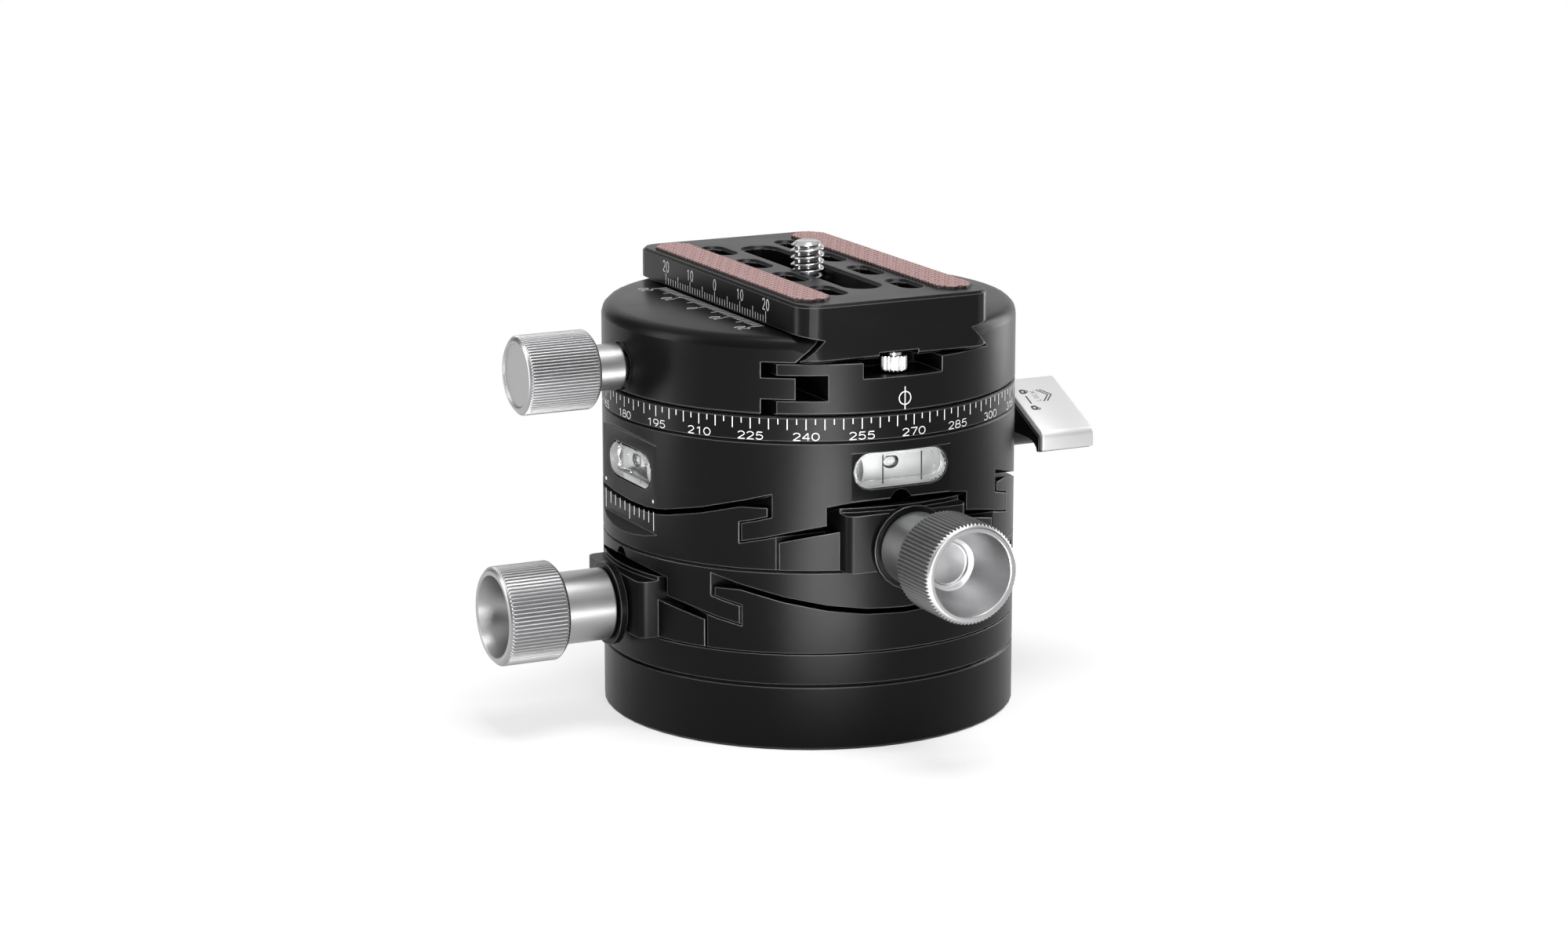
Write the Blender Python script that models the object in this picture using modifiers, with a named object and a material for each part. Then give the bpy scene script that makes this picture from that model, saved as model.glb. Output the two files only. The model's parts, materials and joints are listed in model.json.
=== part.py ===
"""Geared levelling head for a tripod: two stacked tilt stages with worm drive, a panning clamp and its plate.

Every length is in metres. The head stands on z = 0 with its axis on Z. Each tilt stage is modelled once, in a
frame of its own: z = 0 is the underside of its rail base, the tilt axis lies parallel to X above it, and the
worm runs along Y with its knob towards -Y. The lower stage is the same unit turned a quarter about Z.
"""

import math
from collections import namedtuple

import bmesh
import bpy
from mathutils import Matrix, Vector

# Overall stack
drum_radius = 0.038
drum_chamfer = 0.0003
rim_chamfer = 0.0004
seat_gap = 0.0003
overrun = 0.002
foot_height = 0.0119
deck_height = 0.00545
lower_stage_height = 0.01485
upper_stage_height = 0.0231
scale_ring_height = 0.00435
clamp_jaw_height = 0.0139

weld_distance = 0.000001
flat_angle = math.radians(0.05)

# Side counts of round forms
drum_sides = 56
arc_sides = 72
knob_sides = 24
rod_sides = 14
small_sides = 8
shaft_sides = 10
stud_sides = 16
rib_turn_share = 0.13

# Foot, deck and what fastens them
socket_radius = 0.0088
socket_flange_radius = 0.0115
socket_flange_height = 0.0022
socket_thread_radius = 0.00476
foot_lip_radius = 0.0135
base_screw_circle = 0.0285
base_screw_radius = 0.002
base_screw_head_radius = 0.0038
base_screw_head_height = 0.0022
base_screw_sink = 0.0005
base_screw_grip = 0.0042

# Tilt stage: concentric arcs about the tilt axis, and the guide that they form. A height is that of an arc's
# lowest point above the stage's underside.
tilt_axis_height = 0.0876
way_gap = 0.0003
rail_top_height = 0.0066
shoulder_gap = 0.0010
lip_under_height = 0.0040
foot_thickness = 0.0031
bed_drop = 0.0011
rail_top_radius = tilt_axis_height - rail_top_height
body_shoulder_radius = rail_top_radius - shoulder_gap
lip_under_radius = tilt_axis_height - lip_under_height
foot_top_radius = lip_under_radius + way_gap
foot_under_radius = foot_top_radius + foot_thickness
slot_floor_radius = foot_under_radius + way_gap
bed_radius = slot_floor_radius + bed_drop
rail_cap_height = 0.0112
lip_half_width = 0.0231
neck_half_width = 0.02244
foot_half_width = 0.0267
slot_half_width = 0.0270
window_half_width = 0.0140
floor_opening_half_width = 0.0260
floor_opening_half_length = 0.0150
front_seat_depth = 0.0070

# Rails are screwed down on what carries them
rail_screw_x = 0.0215
rail_screw_y = 0.0225
rail_screw_radius = 0.0015
rail_screw_head_radius = 0.0027
rail_screw_head_height = 0.0015
rail_screw_sink = 0.0003
rail_screw_grip = 0.0032

# Worm carrier
wing_half_width = 0.0223
block_half_width = 0.01184
block_front = 0.0398
block_top = 0.0104
block_edge_radius = 0.0018
carrier_clear_radius = foot_top_radius + way_gap
yoke_outer_half_width = 0.0080
yoke_inner_half_width = 0.0038
post_half_width = 0.0033
post_height = 0.0064
rear_bearing_start = 0.0110
rear_bearing_end = 0.0147
carrier_screw_x = 0.0080
carrier_screw_y = -0.0240
carrier_screw_radius = 0.00125
carrier_screw_head_radius = 0.0022
carrier_screw_head_height = 0.0012
carrier_screw_grip = 0.0036

# Worm and rack
worm_height = 0.0041
worm_module = 0.0005
worm_pitch_radius = 0.0025
worm_root_radius = 0.0018
worm_tip_radius = 0.00295
worm_turns = 7
worm_steps = 10
worm_tip_share = 0.16
worm_root_share = 0.44
shaft_radius = 0.0016
journal_radius = 0.0010
rack_half_width = 0.0037
rack_slot_half_width = 0.0040
rack_addendum = 0.00045
rack_dedendum = 0.0007
rack_back_depth = 0.0015
rack_pitch_radius = tilt_axis_height - worm_height - worm_pitch_radius
rack_tip_radius = rack_pitch_radius + rack_addendum
rack_root_radius = rack_pitch_radius - rack_dedendum
rack_back_radius = rack_root_radius - rack_back_depth
rack_tooth_tip_share = 0.16
rack_tooth_root_share = 0.46
rack_half_teeth = 14
post_pocket_radius = rack_tip_radius
post_pocket_angle = math.radians(21.5)
shaft_groove_radius = 0.00225
shaft_groove_drop = 0.0012
shaft_groove_centre_radius = tilt_axis_height - worm_height + shaft_groove_drop
shaft_groove_angle = math.radians(32)

# Worm knob
cap_radius = 0.0076
cap_height = 0.0013
cap_sleeve_radius = 0.0030
cap_sleeve_length = 0.0050
knob_neck_radius = 0.0066
knob_neck_length = 0.0099
knob_head_length = 0.0117
knob_radius = 0.00905
knob_rib_depth = 0.00045
knob_ribs = 40
knob_chamfer = 0.0006
knob_cup_radius = 0.0075
knob_cup_floor_radius = 0.0034
knob_cup_depth = 0.0062
knob_cup_step = 0.0006
knob_shaft_depth = 0.0120
set_screw_radius = 0.0015
set_screw_place = 0.0458
set_screw_length = 0.0036
set_screw_sink = 0.0006
socket_hex_radius = 0.0009
socket_hex_depth = 0.0012

# Flats, vials and their windows
side_flat = 0.0361
side_flat_low = 0.00365
side_flat_high = 0.0199
flat_run_out = 0.0014
front_flat = 0.0366
front_flat_low = 0.0123
front_flat_high = 0.0210
vial_half_length = 0.0092
vial_radius = 0.0032
vial_depth = 0.0055
vial_gap = 0.0002
front_vial_height = 0.01755
side_vial_height = 0.0142

# Panning
spindle_radius = 0.0117
spindle_bottom = 0.0123
flange_radius = 0.0220
flange_height = 0.0028
spindle_boss_radius = 0.0157
washer_height = 0.0005
pan_recess_depth = 0.0039
pan_recess_radius = 0.0223
pan_bore_radius = 0.0120
ring_bore_radius = 0.0160
ring_screw_circle = 0.0300
ring_screw_radius = 0.0015
ring_screw_head_radius = 0.0028
ring_screw_head_height = 0.0016
ring_screw_sink = 0.00015
ring_screw_grip = 0.0050
clamp_bolt_radius = 0.0030
clamp_bolt_head_radius = 0.0052
clamp_bolt_head_height = 0.0026
clamp_bolt_grip = 0.0120

# Pan lock
lock_height = 0.0169
lock_bore_radius = 0.0043
lock_shaft_radius = 0.0040
lock_shaft_inner = 0.0230
lock_shoe_radius = 0.0017
lever_inner = 0.0395
lever_width = 0.0109
lever_hub_radius = 0.0068
lever_reach = 0.0180
lever_slope = math.radians(24.9)
lever_cap_thickness = 0.0012
lever_tip_radius = 0.0010
lever_end_depth = 0.0042
lever_under_depth = 0.0027
lever_hook_start = 0.0122
lever_hook_end = 0.0158
lever_hook_depth = 0.0046

# Clamp
clamp_edge_radius = 0.0023
clamp_floor_height = 0.0091
jaw_wall = 0.02404
base_wall = 0.02176
tongue_reach = 0.01897
tongue_low = 0.0028
tongue_high = 0.0066
notch_reach = 0.01378
notch_low = 0.0025
notch_high = 0.0071
recess_half_width = 0.0078
recess_depth = 0.0106
recess_floor = 0.0063
recess_corner_radius = 0.0012
clamp_axis_height = 0.0046
clamp_screw_radius = 0.0027
clamp_screw_inner = 0.0062
clamp_knob_neck_radius = 0.0042
clamp_knob_neck_length = 0.0062
clamp_knob_radius = 0.0072
clamp_knob_length = 0.0140
clamp_knob_rib_depth = 0.0004
clamp_knob_ribs = 36
clamp_knob_recess_radius = 0.0052
clamp_knob_recess_depth = 0.0005
clamp_knob_spot_depth = 0.0008
spring_y = 0.0150
spring_radius = 0.0012
spring_wire_radius = 0.00025
spring_length = 0.0112
spring_turns = 5
spring_turn_sides = 8

# Plate
plate_half_width = 0.0190
plate_half_length = 0.0352
plate_offset = -0.0005
plate_corner_radius = 0.0040
plate_top = 0.0809
plate_chamfer = 0.0005
plate_foot_half_width = 0.0182
plate_foot_height = 0.0004
neck_depth = 0.0036
under_slope = math.tan(math.radians(12.0))
plate_groove_half_width = 0.0039
plate_groove_depth = 0.0010
slot_row_x = 0.0076
slot_half_length = 0.0047
slot_radius = 0.0019
slot_pitch = 0.0150
long_slot_radius = 0.0034
long_slot_half_length = 0.0240
long_slot_bore_radius = 0.0050
long_slot_ledge = 0.0049
pad_centre = 0.01415
pad_half_width = 0.00345
pad_half_length = 0.0315
pad_end_cut = 0.0022
pad_depth = 0.0010
pad_proud = 0.0006
stop_screw_place = 0.0330
stop_screw_head_radius = 0.00245
stop_screw_head_height = 0.0019
stop_screw_collar_radius = 0.0017
stop_screw_collar_height = 0.00155
stop_screw_thread_radius = 0.0011
stop_screw_thread_length = 0.0040
camera_stud_radius = 0.0031
camera_stud_proud = 0.0054
camera_head_radius = 0.0047
camera_head_height = 0.0038
camera_slot_half_width = 0.0006
camera_slot_depth = 0.0012
camera_screw_y = 0.0010

# Levels that follow from the sizes above
deck_level = foot_height + seat_gap
lower_level = deck_level + deck_height + seat_gap
upper_level = lower_level + lower_stage_height + seat_gap
ring_level = upper_level + upper_stage_height + seat_gap
clamp_level = ring_level + scale_ring_height + seat_gap
floor_level = clamp_level + clamp_floor_height
jaw_top_level = clamp_level + clamp_jaw_height
plate_bottom = floor_level + seat_gap
worm_pitch = math.pi * worm_module
knob_start = block_front + seat_gap + cap_height + seat_gap
head_start = knob_start + knob_neck_length
tooth_angle = worm_pitch / rack_pitch_radius

lower_turn = math.radians(-90)

model = bpy.data.collections.new("geared_head")
cutters = bpy.data.collections.new("cutters")


def start_scene():
    """Empty the scene and link the two collections."""
    for item in list(bpy.data.objects):
        bpy.data.objects.remove(item, do_unlink=True)
    bpy.context.scene.collection.children.link(model)
    bpy.context.scene.collection.children.link(cutters)


def finish(name, colour, roughness, metallic, alpha=1.0):
    """A plain Principled material."""
    material = bpy.data.materials.new(name)
    material.use_nodes = True
    shader = material.node_tree.nodes["Principled BSDF"]
    shader.inputs["Base Color"].default_value = (*colour, 1.0)
    shader.inputs["Roughness"].default_value = roughness
    shader.inputs["Metallic"].default_value = metallic
    shader.inputs["Alpha"].default_value = alpha
    return material


black = finish("black_anodised", (0.02, 0.02, 0.021), 0.42, 0.6)
silver = finish("silver_anodised", (0.62, 0.63, 0.64), 0.32, 1.0)
steel = finish("stainless_steel", (0.55, 0.55, 0.56), 0.25, 1.0)
dark_steel = finish("black_steel", (0.05, 0.05, 0.055), 0.4, 0.8)
bronze = finish("bronze", (0.48, 0.27, 0.11), 0.35, 1.0)
rubber = finish("brown_rubber", (0.20, 0.11, 0.10), 0.8, 0.0)
acetal = finish("white_acetal", (0.8, 0.8, 0.78), 0.5, 0.0)
acrylic = finish("clear_acrylic", (0.9, 0.93, 0.9), 0.05, 0.0, 0.35)


def from_bmesh(name, shape):
    """An object with the given bmesh, its faces turned outwards."""
    bmesh.ops.recalc_face_normals(shape, faces=shape.faces[:])
    mesh = bpy.data.meshes.new(name)
    shape.to_mesh(mesh)
    shape.free()
    item = bpy.data.objects.new(name, mesh)
    model.objects.link(item)
    return item


def evaluated(item):
    """The object's mesh as its modifiers or its curve give it, in a new plain object of the same name."""
    bpy.context.view_layer.update()
    graph = bpy.context.evaluated_depsgraph_get()
    mesh = bpy.data.meshes.new_from_object(item.evaluated_get(graph))
    shape = bmesh.new()
    shape.from_mesh(mesh)
    bmesh.ops.transform(shape, matrix=item.matrix_world, verts=shape.verts)
    bmesh.ops.remove_doubles(shape, verts=shape.verts[:], dist=weld_distance)
    bmesh.ops.dissolve_degenerate(shape, edges=shape.edges[:], dist=weld_distance)
    bmesh.ops.dissolve_limit(shape, angle_limit=flat_angle, verts=shape.verts[:], edges=shape.edges[:])
    name = item.name
    bpy.data.objects.remove(item, do_unlink=True)
    return from_bmesh(name, shape)


# Turns that bring the Z axis of a new shape onto another axis
onto = {
    "Z": Matrix.Identity(4),
    "-Z": Matrix.Rotation(math.radians(180), 4, "X"),
    "X": Matrix.Rotation(math.radians(90), 4, "Y"),
    "-X": Matrix.Rotation(math.radians(-90), 4, "Y"),
    "-Y": Matrix.Rotation(math.radians(90), 4, "X"),
    "Y": Matrix.Rotation(math.radians(-90), 4, "X"),
}


def moved(item, place=(0, 0, 0), axis="Z", turn=0.0):
    """Turn a new shape about Z, bring its Z axis onto another one, and move it."""
    matrix = Matrix.Translation(Vector(place)) @ onto[axis] @ Matrix.Rotation(turn, 4, "Z")
    item.data.transform(matrix)
    return item


def box(name, low, high):
    """A block between two corners."""
    shape = bmesh.new()
    bmesh.ops.create_cube(shape, size=1)
    low, high = Vector(low), Vector(high)
    scale = Matrix.Diagonal((*(high - low), 1))
    bmesh.ops.transform(shape, matrix=Matrix.Translation((low + high) / 2) @ scale, verts=shape.verts)
    return from_bmesh(name, shape)


def rod(name, radius, length, place=(0, 0, 0), axis="Z", sides=rod_sides, end_radius=None, turn=0.0):
    """A round bar or cone that starts at place and runs along axis."""
    shape = bmesh.new()
    end = radius if end_radius is None else end_radius
    bmesh.ops.create_cone(shape, cap_ends=True, segments=sides, radius1=radius, radius2=end, depth=length)
    bmesh.ops.translate(shape, vec=(0, 0, length / 2), verts=shape.verts)
    return moved(from_bmesh(name, shape), place, axis, turn)


def turned(name, profile, sides=drum_sides, place=(0, 0, 0), axis="Z", closed=False):
    """A profile of (radius, height) points turned about its axis with a Screw modifier."""
    mesh = bpy.data.meshes.new(name)
    edges = [(i, i + 1) for i in range(len(profile) - 1)]
    if closed:
        edges.append((len(profile) - 1, 0))
    mesh.from_pydata([(radius, 0, height) for radius, height in profile], edges, [])
    item = bpy.data.objects.new(name, mesh)
    model.objects.link(item)
    screw = item.modifiers.new("turn", "SCREW")
    screw.steps = sides
    screw.render_steps = sides
    screw.use_merge_vertices = True
    screw.merge_threshold = weld_distance
    return moved(evaluated(item), place, axis)


def prism(name, outline, low, high, axis="Z"):
    """A flat outline, drawn as a 2D curve, given a thickness along an axis.

    For "Z" an outline point is (x, y), for "X" it is (y, z) and for "Y" it is (x, z).
    """
    curve = bpy.data.curves.new(name, "CURVE")
    curve.dimensions = "2D"
    curve.fill_mode = "BOTH"
    curve.extrude = (high - low) / 2
    line = curve.splines.new("POLY")
    line.points.add(len(outline) - 1)
    for point, (u, v) in zip(line.points, outline):
        point.co = (u, v, 0, 1)
    line.use_cyclic_u = True
    item = bpy.data.objects.new(name, curve)
    model.objects.link(item)
    result = evaluated(item)
    result.data.transform(Matrix.Translation((0, 0, (low + high) / 2)))
    if axis == "X":
        result.data.transform(Matrix(((0, 0, 1, 0), (1, 0, 0, 0), (0, 1, 0, 0), (0, 0, 0, 1))))
    if axis == "Y":
        result.data.transform(Matrix(((1, 0, 0, 0), (0, 0, 1, 0), (0, 1, 0, 0), (0, 0, 0, 1))))
        result.data.flip_normals()
    return result


def arc_points(centre, radius, start, end, count):
    """Points along a circular arc, both ends among them. Angles are in degrees."""
    angles = [math.radians(start + (end - start) * i / count) for i in range(count + 1)]
    return [(centre[0] + radius * math.cos(a), centre[1] + radius * math.sin(a)) for a in angles]


def oblong(half_length, radius, count=6):
    """A slot outline with round ends, long in its first coordinate."""
    right = arc_points((half_length - radius, 0), radius, -90, 90, count)
    left = arc_points((radius - half_length, 0), radius, 90, 270, count)
    return right + left


def rounded(half_width, half_length, radius, count=4):
    """A rectangle with round corners."""
    x, y = half_width - radius, half_length - radius
    corners = (((x, y), 0), ((-x, y), 90), ((-x, -y), 180), ((x, -y), 270))
    return [p for centre, start in corners for p in arc_points(centre, radius, start, start + 90, count)]


def combine(target, tool, operation):
    """Leave a Boolean modifier on target. The tool stays, hidden, as its child."""
    modifier = target.modifiers.new(tool.name, "BOOLEAN")
    modifier.operation = operation
    modifier.object = tool
    modifier.solver = "EXACT"
    for owner in list(tool.users_collection):
        owner.objects.unlink(tool)
    cutters.objects.link(tool)
    tool.parent = target
    tool.hide_render = True
    tool.display_type = "WIRE"
    return target


def cut(target, *tools):
    """Take each tool's shape away from target."""
    for tool in tools:
        combine(target, tool, "DIFFERENCE")
    return target


def joined(target, *tools):
    """Add each tool's shape to target, as one solid."""
    for tool in tools:
        combine(target, tool, "UNION")
    return target


def common(target, tool):
    """Keep only what target shares with tool."""
    return combine(target, tool, "INTERSECT")


def gathered(name, items):
    """Several separate solids in one object."""
    shape = bmesh.new()
    for item in items:
        shape.from_mesh(item.data)
        bpy.data.objects.remove(item, do_unlink=True)
    return from_bmesh(name, shape)


def done(item, material, pivot, frame):
    """Give a piece, or each of a list, its finish, shade it smooth and hang it on its pivot."""
    if isinstance(item, list):
        return [done(one, material, pivot, frame) for one in item]
    item.data.materials.clear()
    item.data.materials.append(material)
    item.data.shade_smooth()
    item.data.set_sharp_from_angle(angle=math.radians(30))
    item.parent = pivot["empty"]
    item.matrix_local = pivot["world"].inverted() @ frame
    return item


def make_pivot(name, world, parent=None):
    """An empty on a joint's axis, that carries the pieces of one moving body."""
    empty = bpy.data.objects.new(name, None)
    model.objects.link(empty)
    if parent is not None:
        empty.parent = parent["empty"]
        empty.matrix_local = parent["world"].inverted() @ world
    else:
        empty.matrix_local = world
    return {"empty": empty, "world": world}


Fastener = namedtuple("Fastener", "radius head_radius head_height length axis places")


def screws(name, kind):
    """Identical countersunk screws, each its own piece. A head is flush at its place, the shank runs inwards."""
    profile = [
        (0, kind.length),
        (kind.radius, kind.length),
        (kind.radius, kind.head_height),
        (kind.head_radius, 0),
        (0, 0),
    ]
    return [
        turned(f"{name}_{i + 1}", profile, small_sides, place, kind.axis) for i, place in enumerate(kind.places)
    ]


def screw_holes(name, kind):
    """One cutter with the holes for such a set of screws, open beyond the heads."""
    profile = [
        (0, kind.length + seat_gap),
        (kind.radius + seat_gap, kind.length + seat_gap),
        (kind.radius + seat_gap, kind.head_height),
        (kind.head_radius + seat_gap, 0),
        (kind.head_radius + seat_gap, -overrun),
        (0, -overrun),
    ]
    return gathered(
        name, [turned(f"{name}_{i}", profile, small_sides, place, kind.axis) for i, place in enumerate(kind.places)]
    )


def drum(name, low, high, chamfer=0.0):
    """A disc of the head's full diameter, with a small chamfer on its upper edge where one is asked for."""
    profile = [(0, high), (drum_radius - chamfer, high), (drum_radius, high - chamfer), (drum_radius, low), (0, low)]
    if not chamfer:
        profile.pop(1)
    return turned(name, profile, drum_sides)


def about_tilt_axis(name, profile, sides=arc_sides):
    """A closed (x, radius) profile turned about the tilt axis, which is parallel to X."""
    points = [(radius, x) for x, radius in profile]
    return turned(name, points, sides, (0, 0, tilt_axis_height), "X", closed=False)


def mirrored_steps(steps, centre_radius=0):
    """A stepped (x, radius) profile, symmetric about x = 0, closed on the axis at both ends."""
    right = [(x, radius) for x, radius in steps]
    left = [(-x, radius) for x, radius in reversed(steps)]
    return [(left[0][0], centre_radius)] + left + right + [(right[-1][0], centre_radius)]


def make_rail_base(prefix):
    """The fixed half of a stage: two rails with lips, joined by bridges, with a seat for the worm carrier."""
    body = drum(prefix + "rail_base", 0, rail_cap_height)
    wide = drum_radius + overrun
    steps = [
        (slot_half_width, slot_floor_radius),
        (slot_half_width, lip_under_radius),
        (lip_half_width, lip_under_radius),
        (lip_half_width, rail_top_radius),
        (wide, rail_top_radius),
    ]
    seat = drum_radius - front_seat_depth
    floor = floor_opening_half_length
    bed = block_half_width + seat_gap
    right = [(lip_half_width, -wide), (lip_half_width, -seat), (bed, -seat), (bed, -floor)]
    right += [(floor_opening_half_width, -floor), (floor_opening_half_width, floor)]
    outline = right + [(-x, y) for x, y in reversed(right)]
    cut(
        body,
        about_tilt_axis(prefix + "guide_cut", mirrored_steps(steps)),
        prism(prefix + "seat_opening", outline, -overrun, wide),
        side_flat_cutter(prefix + "rail_flat"),
        screw_holes(prefix + "rail_screw_holes", rail_screw_kind()),
    )
    return body


def rail_screw_kind():
    """The rail screws: their heads lie in the guide's floor, sunk below the sliding foot."""
    level = tilt_axis_height - math.sqrt(slot_floor_radius**2 - rail_screw_y**2) - rail_screw_sink
    level -= rail_screw_head_radius * rail_screw_y / slot_floor_radius
    places = [(x, y, level) for x in (-rail_screw_x, rail_screw_x) for y in (-rail_screw_y, rail_screw_y)]
    length = level + seat_gap + rail_screw_grip
    return Fastener(rail_screw_radius, rail_screw_head_radius, rail_screw_head_height, length, "-Z", places)


def side_flat_cutter(name):
    """The flat on the stage's -X side, with a sloped run-out above and below."""
    out = drum_radius + overrun
    slope = flat_run_out * (out - side_flat) / (drum_radius - side_flat)
    outline = [
        (-side_flat, side_flat_low),
        (-side_flat, side_flat_high),
        (-out, side_flat_high + slope),
        (-out, side_flat_low - slope),
    ]
    return prism(name, outline, -drum_radius, drum_radius, "Y")


def make_carrier(prefix):
    """The worm carrier: a front block with wings, a bed that is screwed down, and a yoke with a rear bearing."""
    body = drum(prefix + "worm_carrier", 0, rail_cap_height)
    seat = drum_radius - front_seat_depth + seat_gap
    wide = drum_radius + overrun
    common(
        body, box(prefix + "wing_limit", (-wing_half_width, -wide, -overrun), (wing_half_width, -seat, drum_radius))
    )
    edge = block_edge_radius
    outline = [(-block_half_width, -seat)]
    outline += arc_points((edge - block_half_width, edge - block_front), edge, 180, 270, 4)
    outline += arc_points((block_half_width - edge, edge - block_front), edge, 270, 360, 4)
    outline += [(block_half_width, -seat)]
    joined(
        body,
        prism(prefix + "carrier_block", outline, 0, block_top),
        box(
            prefix + "carrier_bed",
            (-block_half_width, -seat - overrun, 0),
            (block_half_width, -floor_opening_half_length, floor_opening_half_length),
        ),
        box(
            prefix + "carrier_yoke",
            (-yoke_outer_half_width, -floor_opening_half_length - overrun, 0),
            (yoke_outer_half_width, rear_bearing_end, floor_opening_half_length),
        ),
    )
    steps = [
        (block_half_width, carrier_clear_radius),
        (block_half_width, bed_radius),
        (wide, bed_radius),
    ]
    cut(
        body,
        about_tilt_axis(prefix + "carrier_clearance", mirrored_steps(steps)),
        box(
            prefix + "yoke_gap",
            (-yoke_inner_half_width, -seat, -overrun),
            (yoke_inner_half_width, rear_bearing_start, floor_opening_half_length),
        ),
    )
    joined(
        body,
        box(
            prefix + "bearing_post",
            (-post_half_width, rear_bearing_start, 0),
            (post_half_width, rear_bearing_end, post_height),
        ),
    )
    cut(
        body,
        rod(
            prefix + "rear_bearing_bore",
            journal_radius + seat_gap,
            rear_bearing_end,
            (0, rear_bearing_start - overrun, worm_height),
            "Y",
            small_sides,
        ),
        rod(
            prefix + "front_bearing_bore",
            cap_sleeve_radius + seat_gap,
            block_front - floor_opening_half_length,
            (0, -wide, worm_height),
            "Y",
            rod_sides,
        ),
        screw_holes(prefix + "carrier_screw_holes", carrier_screw_kind()),
    )
    return body


def carrier_screw_kind():
    """The carrier screws: their heads lie in the bed, below the arc of its surface."""
    inner = -carrier_screw_y - carrier_screw_head_radius
    level = tilt_axis_height - math.sqrt(carrier_clear_radius**2 - inner**2) - rail_screw_sink
    places = [(x, carrier_screw_y, level) for x in (-carrier_screw_x, carrier_screw_x)]
    length = level + seat_gap + carrier_screw_grip
    return Fastener(carrier_screw_radius, carrier_screw_head_radius, carrier_screw_head_height, length, "-Z", places)


def make_tilt_body(prefix, height):
    """The moving half of a stage: a disc whose underside slides on the rails and carries the rack."""
    body = drum(prefix + "tilt_body", tilt_axis_height - foot_under_radius, height, drum_chamfer)
    wide = drum_radius + overrun
    steps = [
        (window_half_width, foot_top_radius),
        (window_half_width, foot_under_radius),
        (foot_half_width, foot_under_radius),
        (foot_half_width, foot_top_radius),
        (neck_half_width, foot_top_radius),
        (neck_half_width, body_shoulder_radius),
        (wide, body_shoulder_radius),
    ]
    common(body, about_tilt_axis(prefix + "slide_form", mirrored_steps(steps)))
    half_angle = math.degrees((rack_half_teeth + 1 / 2) * tooth_angle + seat_gap / rack_back_radius)
    wide_angle = math.degrees(post_pocket_angle)
    centre = (0, tilt_axis_height)
    slot = arc_points(centre, foot_top_radius + overrun, -90 - wide_angle, wide_angle - 90, 16)
    slot += arc_points(centre, post_pocket_radius, wide_angle - 90, half_angle - 90, 2)
    slot += arc_points(centre, rack_back_radius - seat_gap, half_angle - 90, -half_angle - 90, 12)
    slot += arc_points(centre, post_pocket_radius, -half_angle - 90, -wide_angle - 90, 2)
    cut(
        body,
        prism(prefix + "rack_slot", slot, -rack_slot_half_width, rack_slot_half_width, "X"),
        arc_bar(
            prefix + "shaft_groove",
            arc_points((0, shaft_groove_centre_radius), shaft_groove_radius, 0, 330, 11),
            shaft_groove_angle,
            18,
        ),
        side_flat_cutter(prefix + "body_flat"),
    )
    return body


def arc_bar(name, section, half_angle, steps):
    """A bar of the given (x, radius) section, bent about the tilt axis below it."""
    shape = bmesh.new()
    start = -half_angle
    ring = [shape.verts.new((x, r * math.sin(start), -r * math.cos(start))) for x, r in section]
    face = shape.faces.new(ring)
    bmesh.ops.spin(
        shape,
        geom=[face] + face.edges[:] + face.verts[:],
        cent=(0, 0, 0),
        axis=(1, 0, 0),
        angle=2 * half_angle,
        steps=steps,
        use_duplicate=False,
    )
    bmesh.ops.holes_fill(shape, edges=shape.edges[:])
    bmesh.ops.translate(shape, vec=(0, 0, tilt_axis_height), verts=shape.verts)
    return from_bmesh(name, shape)


def make_rack(prefix):
    """The bronze rack: an arc with slanted teeth on its outer side."""
    slant = worm_pitch / (2 * math.pi * worm_pitch_radius)
    half_angle = (rack_half_teeth + 1 / 2) * tooth_angle
    root, tip = tooth_angle * rack_tooth_root_share / 2, tooth_angle * rack_tooth_tip_share / 2
    outline = [(-half_angle, rack_root_radius)]
    for tooth in range(-rack_half_teeth, rack_half_teeth + 1):
        centre = tooth * tooth_angle
        outline += [
            (centre - root, rack_root_radius),
            (centre - tip, rack_tip_radius),
            (centre + tip, rack_tip_radius),
            (centre + root, rack_root_radius),
        ]
    outline.append((half_angle, rack_root_radius))
    backs = 16
    outline += [(half_angle * (1 - 2 * i / backs), rack_back_radius) for i in range(backs + 1)]
    flat = [(radius * math.sin(a), -radius * math.cos(a)) for a, radius in outline]
    body = prism(prefix + "rack", flat, -rack_half_width, rack_half_width, "X")
    for v in body.data.vertices:
        if math.hypot(v.co.y, v.co.z) > (rack_root_radius + rack_back_radius) / 2:
            v.co = Matrix.Rotation(v.co.x * slant / rack_pitch_radius, 4, "X") @ v.co
    body.data.transform(Matrix.Translation((0, 0, tilt_axis_height)))
    return body


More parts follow.
